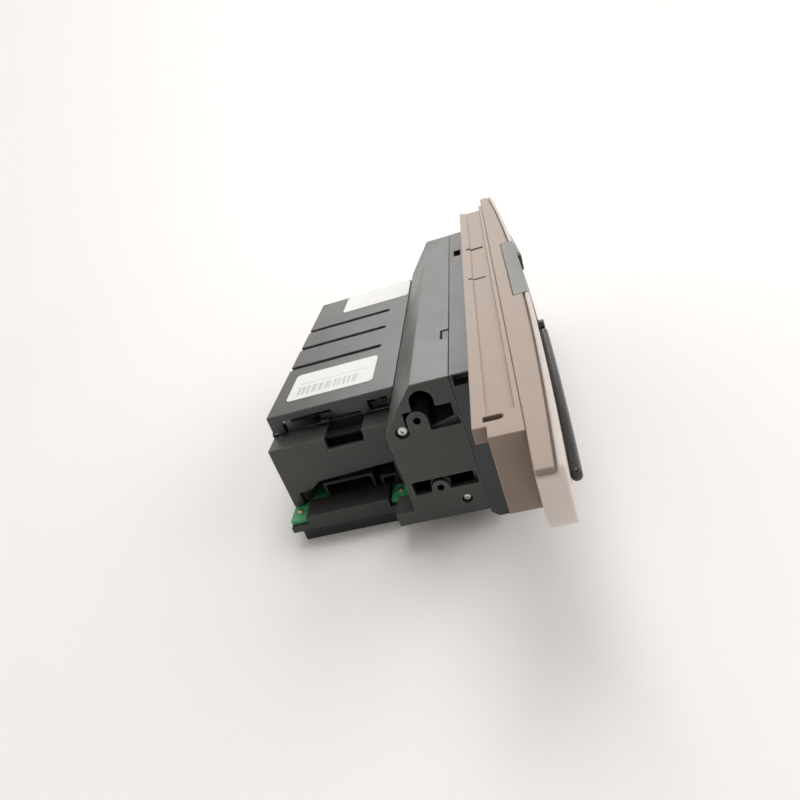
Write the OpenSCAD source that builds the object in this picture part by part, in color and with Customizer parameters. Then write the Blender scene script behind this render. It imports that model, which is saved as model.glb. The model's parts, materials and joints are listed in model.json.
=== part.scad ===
// Bill validator: a shallow note acceptor with a long bezel, clamshell note path and belt-linked rollers.
// Frame: +X out of the bezel, +Y along the bezel, +Z up. The origin is the centre of the four
// panel screws, on the rear face of the bezel flange.

/* [Bezel] */
// Length of the bezel flange
flange_len = 216; // [205:1:290]
// Height of the bezel flange and front cover
flange_h = 21; // [19:0.5:27]
// Thickness of the bezel flange, front to back
flange_t = 8; // [6.5:0.5:10]
// Wall of the bezel flange
flange_wall = 2.2; // [1.5:0.1:3]
// Thickness of the rear hook that drops over the panel
hook_t = 3.3; // [2.5:0.1:5]
// Height of the rear hook
hook_h = 4.2; // [3:0.1:6]
// Distance that the hook stops short of each flange end
hook_inset = 4.7; // [3:0.1:8]
// Overall length of the front cover
cover_len = 246; // [236:1:330]
// Distance from the flange to the front of the cover at its ends
cover_end_t = 5.9; // [5:0.1:9]
// How far the middle of the front cover stands out beyond its ends
crown = 3.7; // [2:0.1:6]
// Radius of the two lower corners of the front cover
corner_r = 13; // [6:0.5:16]
// Thickness of the trim plate on top of the front cover
trim_t = 1.6; // [1.2:0.1:2.4]
// Front edge of the trim plate set back from the cover's front face
trim_back = 2.0; // [1.5:0.1:3]
// Length of the status window
window_len = 60; // [40:1:70]
// How far the black lips stand out of the front cover
lip_proud = 2.6; // [1.5:0.1:3.5]
// Height of a lip
lip_h = 5.4; // [3:0.1:8]
// Length of the near lip
near_lip_len = 72; // [50:1:84]
// Length of the far lip
far_lip_len = 45; // [36:1:80]
// Distance across each pair of panel screws, along the bezel
panel_pitch_y = 196; // [180:1:210]
// Distance up and down between panel screws
panel_pitch_z = 9; // [8:0.5:12]
// Radius of the pilot hole for a panel screw
panel_hole_r = 1.25; // [1:0.05:1.6]

/* [Front housing and mounting frame] */
// Length of the front housing
front_len = 147.6; // [130:0.2:180]
// Distance from the middle of the bezel to the middle of the front housing
housing_y = 4.4; // [0:0.1:8]
// Thickness of the mounting frame
frame_t = 6; // [4.5:0.5:8]
// Height of the mounting frame
frame_h = 50; // [47:0.5:58]
// Height of the front housing
front_h = 46.7; // [44:0.1:50]
// Depth of the flat top of the front housing
front_top = 11.2; // [9:0.1:13]
// Depth of the front housing at its rear wall
front_depth = 22.3; // [20:0.1:27]
// Depth of the foot at the bottom of the front housing
foot_depth = 28.5; // [26:0.1:33]
// Height of the foot
foot_h = 4.7; // [3:0.1:6]
// Distance from the bezel top down to the front housing top
top_drop = 2.5; // [1:0.1:4]
// Wall of the front housing
front_wall = 2.0; // [1.5:0.1:3]
// Outer radius of the upper side bosses
boss_r = 3.1; // [2.6:0.1:4]
// Radius of the side boss pilot holes
boss_hole_r = 1.05; // [0.8:0.05:1.5]
// Distance between the two side boss holes of one end
boss_pitch = 24; // [20:0.5:28]

/* [Rear housing] */
// Depth of the rear housing, behind the front housing
rear_depth = 46.1; // [42:0.1:58]
// Near end of the lower housing, from the middle of the note path
rear_near = 49.6; // [49:0.1:58]
// Far end of the lower housing and upper cover, from the middle of the note path
rear_far = 69.5; // [62:0.1:75]
// Ledge of the lower housing in front of the upper cover's near end
ledge = 9.5; // [6:0.1:11]
// Distance from the front housing top down to the upper cover top
cover_drop = 13.2; // [11:0.1:15]
// Height of the upper cover above the parting line
upper_h = 7.4; // [7.2:0.1:9]
// Height of the lower housing below the parting line
lower_h = 24.0; // [23.5:0.1:30]
// Wall of the rear housing
wall = 2.0; // [1.6:0.1:2.6]
// Wall of the upper cover
upper_wall = 1.5; // [1.2:0.1:1.8]
// Number of grooves in the upper cover
groove_n = 3; // [1:1:4]
// Distance between grooves
groove_pitch = 18.9; // [14:0.1:20]
// Width of a groove
groove_w = 2.6; // [1:0.1:3]
// Depth of a groove
groove_d = 1.0; // [0.4:0.1:1.1]
// Depth of the belly of the bottom cover below the board
belly_h = 7.8; // [5:0.1:12]
// Thickness of the main board
board_t = 1.6; // [1:0.2:2]
// How far the main board shows in front of the lower housing's near end
board_out = 8; // [5:0.5:10]

/* [Note path and drive] */
// Width of the note that the path is made for
note_w = 66.3; // [62:0.1:68]
// Side room for the note in its path, in all
note_room = 1.7; // [1:0.1:3]
// Height of the note path
path_gap = 2.0; // [1.6:0.1:2.6]
// Radius of a drive roller
roller_r = 7; // [6:0.1:7.5]
// Width of a roller
roller_w = 9; // [6:0.5:12]
// Distance between the two rollers of a shaft
roller_pitch = 36; // [28:0.5:42]
// Radius of a drive shaft
shaft_r = 2; // [1.5:0.1:2.5]
// Distance between the front and rear drive shafts
shaft_pitch = 27; // [26:0.1:30]
// Radius of a pinch roller
pinch_r = 2.4; // [2:0.1:2.6]
// Radius of a pinch axle
pinch_axle_r = 0.8; // [0.6:0.05:1]
// Module of the gears
gear_mod = 0.5; // [0.4:0.05:0.5]
// Teeth of the drive gear on the front shaft
drive_teeth = 26; // [22:1:26]
// Teeth of the small step of the idler gear
idler_small = 16; // [14:1:18]
// Teeth of the large step of the idler gear
idler_big = 24; // [20:1:25]
// Teeth of the motor pinion
pinion_teeth = 12; // [11:1:14]
// Radius of the motor can
motor_r = 7.4; // [6:0.1:7.4]
// Length of the motor can
motor_len = 24; // [18:0.5:26]
// Radius of a belt pulley's running face
pulley_r = 4.1; // [3.5:0.1:4.2]
// Thickness of the drive belt
belt_t = 0.8; // [0.6:0.1:1]
// Travel of the cover latch
latch_travel = 2.4; // [1.5:0.1:3]

/* [Fits] */
// Radial clearance of a shaft in its bush
run_fit = 0.05; // [0.02:0.01:0.1]
// Gap between parts that move past each other
move_gap = 0.3; // [0.2:0.05:0.6]
// Gap between the upper cover and its neighbours
part_gap = 0.2; // [0.1:0.05:0.4]
// Thickness that gear teeth lose for backlash
backlash = 0.12; // [0.06:0.01:0.2]

/* [Hidden] */
$fn = 64;

top_z = flange_h / 2;                       // top of the bezel
seam_x = -(hook_t + frame_t);               // seam between mounting frame and front housing
body_z = top_z - top_drop;                  // top of the front housing
front_x0 = seam_x - front_depth;            // rear wall of the front housing, outside
rear_x0 = front_x0 - rear_depth;            // rear face of the rear housing
cover_z = body_z - cover_drop;              // top of the upper cover
part_z = cover_z - upper_h;                 // parting line, and centre of the note path
low_z = part_z - lower_h;                   // underside of the lower housing, top of the main board
base_z = low_z - board_t - belly_h;         // lowest face
path_w = note_w + note_room;
mouth_z = -1;                               // centre of the mouth
cover_t = cover_end_t + crown;
front_x = flange_t + cover_t;               // front of the cover at its crown
crown_r = (pow(cover_len / 2, 2) + crown * crown) / (2 * crown);
crown_steps = 28;
path_slope = (mouth_z - part_z) / (front_x - front_x0);
plate_t = 1.5;
roof_t = 0.8;
roof_half = path_w / 2 + 0.4;
deck_z = part_z - path_gap / 2;             // top of the lower guide plate
roof_z = part_z + path_gap / 2;             // underside of the upper guide plate
nip_z = deck_z + 0.6;                       // top of a drive roller
shaft_z = nip_z - roller_r;
front_shaft_x = front_x0 - wall - roller_r - 0.6;
rear_shaft_x = front_shaft_x - shaft_pitch;
pinch_z = nip_z + move_gap + pinch_r;
bulk_in = path_w / 2 + 3;                   // inner face of the two bulkheads
bulk_t = 2.2;
motor_drop = sqrt(pow(roller_r + motor_r + 0.6, 2) - pow(shaft_pitch / 2, 2));
motor_x = (front_shaft_x + rear_shaft_x) / 2;
motor_z = shaft_z - motor_drop;
gear_fm = norm([motor_x - front_shaft_x, motor_z - shaft_z]);
gear_fi = (drive_teeth + idler_small) * gear_mod / 2;
gear_im = (idler_big + pinion_teeth) * gear_mod / 2;
gear_along = (gear_fi * gear_fi - gear_im * gear_im + gear_fm * gear_fm) / (2 * gear_fm);
gear_off = sqrt(gear_fi * gear_fi - gear_along * gear_along);
gear_u = [motor_x - front_shaft_x, motor_z - shaft_z] / gear_fm;
idler_x = front_shaft_x + gear_along * gear_u[0] - gear_off * gear_u[1];
idler_z = shaft_z + gear_along * gear_u[1] + gear_off * gear_u[0];
gear_y = bulk_in + bulk_t + 1.2;            // near face of the first gear layer
gear_w = 4;
layer_gap = 1;
idler_axle_r = 1.2;
hinge_x = rear_x0 + 1.5;
knuckle_r = 2.1;
hinge_pin_r = 1;
near_y = -rear_near + ledge;                // near end of the upper cover
boss_x = seam_x - 12.3;
boss_z = body_z - 11.4;
head_r = 2.2;

function path_at(x) = mouth_z - (front_x - x) * path_slope;
function face_x(y) = front_x - crown_r + sqrt(crown_r * crown_r - y * y);
function dir2(ax, az, bx, bz) = atan2(bz - az, bx - ax);
// an involute flank: half of a tooth's angle at the radius r, from the base radius rb outwards
function inv_deg(r, rb) = let (a = acos(min(1, rb / r))) tan(a) * 180 / PI - a;
function half_tooth(teeth, r, rp, rb) =
    90 / teeth - backlash / rp * 90 / PI + inv_deg(rp, rb) - inv_deg(max(r, rb), rb);

// a flat outline in X and Z, drawn out along Y from y0 to y1
module along_y(y0, y1) {
    translate([0, y1, 0]) rotate([90, 0, 0]) linear_extrude(y1 - y0) children();
}

// a flat outline in Y and Z, drawn out along X from x0 to x1
module along_x(x0, x1) {
    translate([x0, 0, 0]) rotate([90, 0, 90]) linear_extrude(x1 - x0) children();
}

module box(low, high) {
    translate(low) cube(high - low);
}

module rod(x, z, r, y0, y1) {
    along_y(y0, y1) translate([x, z]) circle(r);
}

module round_rect(w, h, r) {
    square([w - 2 * r, h], center = true);
    square([w, h - 2 * r], center = true);
    for (sx = [-1, 1], sy = [-1, 1])
        translate([sx * (w / 2 - r), sy * (h / 2 - r)]) circle(r, $fn = 32);
}

module mirror_y() {
    children();
    mirror([0, 1, 0]) children();
}

// plan outline of everything behind the crowned front face, moved outwards by grow
module crown_plan(grow) {
    reach = cover_len / 2 + 1;
    polygon(concat([[0, -reach], [0, reach]], [for (i = [crown_steps:-1:0])
        let (y = reach * (2 * i / crown_steps - 1)) [face_x(y) + grow, y]]));
}

module behind_crown(grow, z0, z1) {
    translate([0, 0, z0]) linear_extrude(z1 - z0) crown_plan(grow);
}

module gear_outline(teeth) {
    rp = teeth * gear_mod / 2;
    rb = rp * cos(20);
    ra = rp + 0.85 * gear_mod;
    rr = rp - 1.1 * gear_mod;
    steps = 4;
    r0 = max(rb, rr);
    flank = [for (i = [0:steps]) let (r = r0 + (ra - r0) * i / steps) [r, half_tooth(teeth, r, rp, rb)]];
    polygon([for (t = [0:teeth - 1]) let (a = t * 360 / teeth)
        each concat(
            [[rr * cos(a - flank[0][1]), rr * sin(a - flank[0][1])]],
            [for (f = flank) [f[0] * cos(a - f[1]), f[0] * sin(a - f[1])]],
            [for (i = [steps:-1:0]) let (f = flank[i]) [f[0] * cos(a + f[1]), f[0] * sin(a + f[1])]],
            [[rr * cos(a + flank[0][1]), rr * sin(a + flank[0][1])]])]);
}

// a solid gear about a Y axis, with one tooth centred on the angle given
module gear_y_axis(x, z, teeth, tooth_at, y0, y1) {
    along_y(y0, y1) translate([x, z]) rotate(tooth_at) gear_outline(teeth);
}

module pan_screw_x(y, z, x_head, x_end) {
    along_x(x_end, x_head) translate([y, z]) circle(1.0, $fn = 32);
    along_x(x_head, x_head + 1.3) translate([y, z]) difference() {
        circle(head_r, $fn = 32);
        for (a = [0, 90]) rotate(a) square([2.2, 0.5], center = true);
    }
}

module front_profile() {
    polygon([[seam_x, body_z], [seam_x - front_top, body_z], [front_x0, cover_z],
        [front_x0, body_z - front_h], [seam_x, body_z - front_h]]);
}

module path_channel(x0, x1, half_w) {
    along_y(-half_w, half_w) polygon([[x0, path_at(x0) - path_gap / 2], [x1, path_at(x1) - path_gap / 2],
        [x1, path_at(x1) + path_gap / 2], [x0, path_at(x0) + path_gap / 2]]);
}

module front_cavity_upper() {
    x1 = seam_x - front_wall;
    x0 = front_x0 + front_wall + 1.5;
    z0 = body_z - front_wall;
    polygon([[x1, z0], [seam_x - front_top + 0.6, z0], [x0, cover_z + 1.6],
        [x0, path_at(x0) + path_gap / 2 + 1.5], [x1, path_at(x1) + path_gap / 2 + 1.5]]);
}

module front_cavity_lower() {
    x1 = seam_x - front_wall;
    x0 = front_x0 + front_wall;
    z0 = body_z - front_h + front_wall;
    polygon([[x1, path_at(x1) - path_gap / 2 - 1.5], [x0, path_at(x0) - path_gap / 2 - 1.5],
        [x0, z0], [x1, z0]]);
}

// the openings and bosses of one end wall, seen along Y
module end_windows() {
    difference() {
        union() {
            translate([seam_x - 15.7, body_z - 15.3]) square([15.2, 7.2]);
            translate([seam_x - 9.4, body_z - front_wall - 3.7]) circle(3.4);
            translate([seam_x - 12.8, body_z - 9]) square([6.8, 3.6]);
        }
        translate([boss_x, boss_z]) circle(boss_r);
        translate([boss_x - boss_r, boss_z - 4]) square([2 * boss_r, 4]);
    }
    difference() {
        translate([seam_x - 20.3, body_z - 36.3]) square([19.6, 4.6]);
        translate([boss_x, boss_z - boss_pitch]) circle(boss_r - 0.4);
        translate([boss_x - boss_r + 0.4, boss_z - boss_pitch - 2]) square([2 * boss_r - 0.8, 2]);
    }
}

module front_shell(y0) {
    difference() {
        along_y(y0, -y0) front_profile();
        // the hollows, with the bosses standing in their two ends
        along_y(y0 + front_wall, -y0 - front_wall) difference() {
            front_cavity_upper();
            boss_outlines(boss_z, 0);
        }
        along_y(y0 + front_wall, -y0 - front_wall) difference() {
            front_cavity_lower();
            boss_outlines(boss_z - boss_pitch, 1);
        }
        along_y(y0 + boss_len, -y0 - boss_len) {
            front_cavity_upper();
            front_cavity_lower();
        }
        mirror_y() along_y(y0 - 1, y0 + front_wall + 0.01) end_windows();
        mirror_y() for (z = [boss_z, boss_z - boss_pitch])
            rod(boss_x, z, boss_hole_r, y0 - 1, y0 + boss_len - 1.5);
        // seats of the side screws: a recess for the head, and a pilot hole
        mirror_y() for (p = side_screw_at) {
            rod(p[0], p[1], p[2] + 0.3, y0 - 1, y0 + 1.8);
            rod(p[0], p[1], 1.0, y0 - 1, y0 + boss_len - 2);
        }
    }
}

module front_housing() {
    foot_z = body_z - front_h;
    foot_ends = [[front_ends[0], foot_in[0]], [foot_in[1], front_ends[1]]];
    color([0.33, 0.34, 0.34]) difference() {
        union() {
            translate([0, housing_y, 0]) front_shell(-front_len / 2);
            // feet at both ends, clear of the rear housing
            for (e = foot_ends)
                box([seam_x - foot_depth, e[0], foot_z], [front_x0 + 1, e[1], foot_z + foot_h]);
        }
        path_channel(front_x0 - 1, seam_x + 1, path_w / 2);
        // snap slot in the top skin, which the frame's tongue reaches into
        box([seam_x - snap_d, snap_y - snap_w / 2, body_z - snap_h],
            [seam_x + 1, snap_y + snap_w / 2, body_z + 1]);
        // pocket for the latch bolt
        box([front_x0 - 1, latch_y0 - part_gap, latch_z0 - part_gap],
            [front_x0 + latch_travel + 0.6, latch_y1 + part_gap, latch_z1 + part_gap]);
        // pilot holes for the mounting frame screws
        for (y = frame_screw_y, z = frame_screw_z)
            along_x(seam_x - 8, seam_x + 1) translate([y, z]) circle(1.0, $fn = 32);
    }
}

boss_len = 10;
snap_y = -40.1;
snap_d = 2.6;
snap_w = 6.8;
snap_h = 1.3;
front_ends = [housing_y - front_len / 2, housing_y + front_len / 2];
foot_in = [-rear_near - board_out - 2.2, rear_far + 0.8];
// place and head radius of the two side screws of one end
side_screw_at = [[seam_x - 17.6, body_z - 14.2, 1.7], [seam_x - 5.7, body_z - 41.4, 1.3]];

module boss_outlines(z, i) {
    translate([boss_x, z]) circle(boss_r);
    translate([side_screw_at[i][0], side_screw_at[i][1]]) circle(2.4);
}

frame_screw_y = [front_ends[0] + 5, front_ends[1] - 5];
frame_screw_z = [body_z - 27, body_z - 43.5];

module mounting_frame() {
    frame_z0 = body_z - frame_h;
    x1 = seam_x + frame_t;
    // the tongue of the snap, with play all round it in its slot
    color([0.28, 0.30, 0.32])
        box([seam_x - snap_d + move_gap, snap_y - snap_w / 2 + move_gap, body_z - snap_h + move_gap],
            [seam_x + 0.5, snap_y + snap_w / 2 - move_gap, body_z - move_gap]);
    color([0.28, 0.30, 0.32]) difference() {
        along_y(front_ends[0], front_ends[1]) polygon([[seam_x, body_z], [x1, body_z], [x1, frame_z0],
            [seam_x + 2, frame_z0], [seam_x, frame_z0 + 2]]);
        // a note-wide window, and the hollow below it
        path_channel(seam_x - 1, x1 + 1, path_w / 2);
        box([seam_x - 1, front_ends[0] + 14, frame_z0 + 3], [x1 - 2, front_ends[1] - 14, body_z - 24]);
        // open pockets at the top ends
        for (y = front_ends) box([seam_x + 1, y - 4, body_z - 3.6], [x1 + 1, y + 4, body_z - 0.6]);
        // keyway in the top, at the far end
        box([x1 - 3.9, key_y - 4, body_z - 2.6], [x1 - 1.2, key_y + 4, body_z + 1]);
        for (y = frame_screw_y, z = frame_screw_z) {
            along_x(seam_x - 1, x1 + 1) translate([y, z]) circle(1.25, $fn = 32);
            along_x(x1 - 2, x1 + 1) translate([y, z]) circle(head_r + 0.3, $fn = 32);
        }
        // holes for the bezel's two locating pegs
        for (y = [-peg_y, peg_y]) along_x(x1 - 3, x1 + 1) translate([y, 2]) circle(1.6, $fn = 32);
    }
}

peg_y = 55;
key_y = 44.4;

module bezel_flange() {
    z0 = -flange_h / 2;
    color([0.72, 0.64, 0.58]) difference() {
        union() {
            box([0, -flange_len / 2, z0], [flange_t, flange_len / 2, top_z]);
            // rear hook along the top edge
            box([-hook_t, -flange_len / 2 + hook_inset, top_z - hook_h],
                [3, flange_len / 2 - hook_inset, top_z]);
            // locating pegs for the mounting frame
            for (y = [-peg_y, peg_y]) along_x(-hook_t - 2.5, 1) translate([y, 2]) circle(1.5, $fn = 32);
            // collar that carries the note from the bezel to the mounting frame
            along_y(-path_w / 2 - 3, path_w / 2 + 3) polygon([
                [-hook_t, path_at(-hook_t) - path_gap / 2 - 1.6], [1, path_at(1) - path_gap / 2 - 1.6],
                [1, path_at(1) + path_gap / 2 + 1.6], [-hook_t, path_at(-hook_t) + path_gap / 2 + 1.6]]);
            // rear pads that seat on the mounting frame
            for (y = [-peg_y, peg_y]) box([-hook_t, y - 13, z0], [1, y + 13, -2]);
        }
        // the long shallow channel in the top
        box([0.2, -flange_len / 2 + 10, top_z - 0.7], [6.6, flange_len / 2 - 7, top_z + 1]);
        box([-hook_t + 1.6, flange_len / 2 - 7.4, top_z - 2], [6.6, flange_len / 2 + 1, top_z + 1]);
        // transverse slots across the channel, and the slot hole at the near end
        box([-1.4, 34.6, top_z - 1.6], [5.4, 37, top_z + 1]);
        box([-1.4, -3, top_z - 1.4], [4.8, -1.8, top_z + 1]);
        box([-0.7, -flange_len / 2 + 6.6, top_z - 6], [2.9, -flange_len / 2 + 8.8, top_z + 1]);
        translate([2.9, -flange_len / 2 + 7.7, top_z - 6]) cylinder(r = 1.1, h = 7, $fn = 32);
        // note mouth
        path_channel(-hook_t - 3, flange_t + 1, path_w / 2);
        // hollow front side, closed off from the note mouth
        mirror_y() box([flange_wall, path_w / 2 + 2, z0 + flange_wall],
            [flange_t + 1, flange_len / 2 - flange_wall, top_z - hook_h]);
        for (sy = [-1, 1], sz = [-1, 1]) along_x(-1, flange_wall + 4.1)
            translate([sy * panel_pitch_y / 2, sz * panel_pitch_z / 2]) circle(panel_hole_r);
    }
    // bosses around the panel screw holes
    color([0.72, 0.64, 0.58]) for (sy = [-1, 1], sz = [-1, 1])
        along_x(flange_wall - 0.5, flange_wall + 4)
            translate([sy * panel_pitch_y / 2, sz * panel_pitch_z / 2]) difference() {
                circle(panel_hole_r + 1.6);
                circle(panel_hole_r);
            }
}

trim_z0 = top_z - trim_t;

// the plan outline of the trim plate, grown by g
module trim_plan(g) {
    intersection() {
        translate([flange_t, -cover_len / 2 + 0.4 - g]) square([cover_t, cover_len - 0.8 + 2 * g]);
        crown_plan(g - trim_back);
    }
}

module bezel_trim() {
    color([0.72, 0.63, 0.58]) difference() {
        translate([0, 0, trim_z0]) linear_extrude(trim_t) trim_plan(0);
        window_seat(0);
    }
}

window_x0 = flange_t + 4.4;

module window_seat(g) {
    box([window_x0 - g, -window_len / 2 - g, trim_z0 - 1.2 - g],
        [front_x + 5, window_len / 2 + g, top_z + 1]);
}

module status_window() {
    color([0.46, 0.48, 0.44]) intersection() {
        box([window_x0 + 0.05, -window_len / 2 + 0.05, trim_z0 - 1.1],
            [front_x + 5, window_len / 2 - 0.05, top_z]);
        behind_crown(-0.25, -flange_h, flange_h);
    }
}

module cover_front_outline() {
    // seen along X: square top corners and round lower corners
    z0 = -flange_h / 2;
    intersection() {
        translate([-cover_len / 2, z0]) square([cover_len, flange_h]);
        union() {
            translate([-cover_len / 2, z0 + corner_r]) square([cover_len, flange_h]);
            translate([-cover_len / 2 + corner_r, z0]) square([cover_len - 2 * corner_r, flange_h]);
            for (s = [-1, 1]) translate([s * (cover_len / 2 - corner_r), z0 + corner_r]) circle(corner_r);
        }
    }
}

mouth_h = 9;
mouth_len = path_w + 8;

module front_cover() {
    color([0.80, 0.77, 0.74]) difference() {
        intersection() {
            along_x(flange_t, front_x + 1) cover_front_outline();
            behind_crown(0, -flange_h, flange_h);
        }
        // seat of the trim plate
        translate([0, 0, trim_z0]) linear_extrude(trim_t + 1) trim_plan(0.4);
        window_seat(0);
        // mouth opening
        along_x(flange_t - 1, front_x + 2) translate([0, path_at(front_x)])
            round_rect(mouth_len, mouth_h, 2);
        // hollow back, on both sides of the mouth
        mirror_y() box([flange_t - 1, mouth_len / 2 + 2, -flange_h / 2 + 2.2],
            [flange_t + cover_end_t - 2.2, cover_len / 2 - corner_r, trim_z0 - 1.8]);
    }
}

module mouth_throat() {
    zc = path_at(front_x);
    color([0.06, 0.06, 0.065]) difference() {
        intersection() {
            along_x(flange_t + 0.1, front_x + 5) translate([0, zc])
                round_rect(mouth_len - 0.1, mouth_h - 0.1, 2);
            behind_crown(0.6, -flange_h, flange_h);
        }
        path_channel(flange_t - 1, front_x + 6, path_w / 2);
        // funnel into the note path
        along_y(-path_w / 2, path_w / 2) polygon([[flange_t, path_at(flange_t) - path_gap / 2],
            [front_x - 3.4, zc - 2.6], [front_x + 2, zc - 3.4], [front_x + 2, zc + 3.4],
            [front_x - 3.4, zc + 2.6], [flange_t, path_at(flange_t) + path_gap / 2]]);
    }
    // cheeks at both ends of the mouth
    color([0.06, 0.06, 0.065]) mirror_y() intersection() {
        along_x(front_x - 3, front_x + 5) translate([path_w / 2 + 2.2, zc]) round_rect(3.4, mouth_h - 2, 1.5);
        behind_crown(lip_proud - 0.4, -flange_h, flange_h);
    }
}

// a raised bar beyond the mouth, which tapers in height away from it
module lip(length) {
    zc = path_at(front_x);
    y_in = lip_start + lip_h / 2;
    r_out = lip_h * 0.3;
    y_out = lip_start + length - r_out;
    intersection() {
        along_x(flange_t + 1, front_x + 5) {
            translate([y_out, zc - 1.5]) circle(r_out, $fn = 48);
            translate([y_in, zc]) circle(lip_h / 2, $fn = 48);
            polygon([[y_in, zc - lip_h / 2], [y_out, zc - 1.5 - r_out], [y_out, zc - 1.5 + r_out],
                [y_in, zc + lip_h / 2]]);
        }
        difference() {
            behind_crown(lip_proud, -flange_h, flange_h);
            behind_crown(0, -flange_h - 1, flange_h + 1);
        }
    }
}

lip_start = mouth_len / 2 + 0.5;

module near_lip() {
    color([0.05, 0.05, 0.055]) mirror([0, 1, 0]) lip(near_lip_len);
}

module far_lip() {
    color([0.05, 0.05, 0.055]) lip(far_lip_len);
}

latch_y0 = near_y + upper_wall + 0.4;
latch_y1 = latch_y0 + 3.4;
latch_z0 = part_z + 0.5;
latch_z1 = latch_z0 + 2.6;
latch_len = 28;
latch_x = front_x0 - part_gap - 0.1 - latch_len;   // rear end of the latch bolt
ledge_cut = [front_x0 - 25.9, front_x0 - 12.9];

module lower_housing() {
    x1 = front_x0;
    xi = rear_x0 + wall;
    color([0.38, 0.39, 0.38]) difference() {
        union() {
            difference() {
                box([rear_x0, -rear_near, low_z], [x1, rear_far, part_z - part_gap / 2]);
                // hollow between the outer walls and the two bulkheads
                box([xi, -rear_near + wall, low_z - 1], [x1 - wall, -bulk_in - bulk_t, part_z - 2]);
                // the top is open inside the cover's near wall, over the belt
                box([xi + 4, near_y + upper_wall + 0.5, part_z - 3],
                    [x1 - wall, -bulk_in - bulk_t, part_z + 1]);
                box([xi, -bulk_in, low_z - 1], [x1 - wall, bulk_in, deck_z - plate_t - 1]);
                box([xi, bulk_in + bulk_t, low_z - 1], [x1 - wall, rear_far - wall, part_z + 1]);
                // seat of the guide plate, and the note's way out at the front and rear
                box([rear_x0 - 1, -path_w / 2, deck_z - plate_t], [x1 + 1, path_w / 2, part_z + 1]);
                box([xi, -bulk_in, deck_z - plate_t], [x1 - wall, bulk_in, part_z + 1]);
                box([xi + 1, -path_w / 2 + 1, deck_z - plate_t - 2],
                    [x1 - wall - 1, path_w / 2 - 1, part_z + 1]);
            }
            // hinge ears, inboard of the cover's knuckles
            for (y = hinge_ears) box([rear_x0, y, part_z - 5], [rear_x0 + 3, y + ear_w, part_z]);
            for (y = hinge_ears) rod(hinge_x, part_z, knuckle_r, y, y + ear_w);
        }
        // relief around the cover's knuckles
        for (y = knuckles) {
            rod(hinge_x, part_z, knuckle_r + move_gap, y[0] - part_gap, y[1] + part_gap);
            box([rear_x0 - 1, y[0] - part_gap, part_z - 1.2], [hinge_x, y[1] + part_gap, part_z + 1]);
        }
        for (y = hinge_ears) rod(hinge_x, part_z, hinge_pin_r, y - 1, y + ear_w + 1);
        // bush seats
        for (x = [front_shaft_x, rear_shaft_x], s = [-1, 1])
            rod(x, shaft_z, bush_r, s * (bulk_in + bulk_t / 2) - 3, s * (bulk_in + bulk_t / 2) + 3);
        mirror_y() for (x = [front_shaft_x, rear_shaft_x]) {
            rod(x, shaft_z, bush_r + bush_rim + 0.05, bulk_in - 0.9, bulk_in);
            // room for the rollers in the front and rear walls
            rod(x, shaft_z, roller_r + 0.4, (roller_pitch - roller_w) / 2 - 0.5,
                (roller_pitch + roller_w) / 2 + 0.5);
        }
        // motor seat, with its two screws
        rod(motor_x, motor_z, 3.1, bulk_in - 1, bulk_in + bulk_t + 1);
        for (s = [-1, 1]) rod(motor_x + s * 5, motor_z, 0.85, bulk_in - 1, bulk_in + bulk_t + 1);
        rod(idler_x, idler_z, 1.5, bulk_in - 1, bulk_in + bulk_t + 1);
        // cut-outs in the near ledge and end wall
        box([ledge_cut[0], -rear_near - 1, part_z - 4.9],
            [ledge_cut[1], near_y + upper_wall + 1, part_z + 1]);
        along_y(-rear_near - 1, -rear_near + wall + 0.1) polygon([[rear_x0 + 4, low_z - 1],
            [rear_x0 + 4, low_z + 4.9], [rear_x0 + 9, low_z + 5.3], [rear_x0 + 12.3, low_z + 7.9],
            [x1 - 6.7, low_z + 9.2], [x1 - 6.7, low_z - 1]]);
        // pilot holes for the bottom screws
        for (p = bottom_screw_at) translate([p[0], p[1], low_z - 1]) cylinder(r = 1, h = 9, $fn = 32);
    }
    // corner posts for the bottom screws
    color([0.38, 0.39, 0.38]) for (p = bottom_screw_at) difference() {
        translate([p[0], p[1], low_z]) cylinder(r = post_r, h = 8, $fn = 32);
        translate([p[0], p[1], low_z - 1]) cylinder(r = 1, h = 10, $fn = 32);
    }
}

bush_r = shaft_r + 1.3;
bush_rim = 0.5;
ear_w = 2.8;
knuckle_w = 2.6;
knuckles = [[near_y, near_y + knuckle_w], [rear_far - knuckle_w, rear_far]];
hinge_ears = [near_y + knuckle_w + part_gap, rear_far - knuckle_w - part_gap - ear_w];
post_r = 2.4;
post_x = [rear_x0 + wall + post_r - 0.2, front_x0 - wall - post_r + 0.2];
post_y = [-rear_near + wall + post_r - 0.2, rear_far - wall - post_r + 0.2];
bottom_screw_at = [for (x = post_x, y = post_y) [x, y]];

board_tab = 6.2;
tab_x = [rear_x0 + 0.3, front_x0 - 9.7];

module board_outline() {
    // the board shows as two tabs at the near end, on both sides of the bottom cover's rail
    translate([rear_x0 + 0.3, -rear_near]) square([rear_depth - 0.5, rear_near + rear_far - 1.5]);
    for (x = tab_x) translate([x, -rear_near - board_out]) square([board_tab, board_out + 1]);
}

module main_board() {
    color([0.10, 0.42, 0.28]) translate([0, 0, low_z - board_t]) linear_extrude(board_t - 0.02) difference() {
        board_outline();
        for (x = tab_x)
            translate([x + board_tab / 2 - 0.2, -rear_near - board_out + 4.6]) circle(0.45, $fn = 32);
        for (p = bottom_screw_at) translate(p) circle(1.3, $fn = 32);
    }
}

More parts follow.
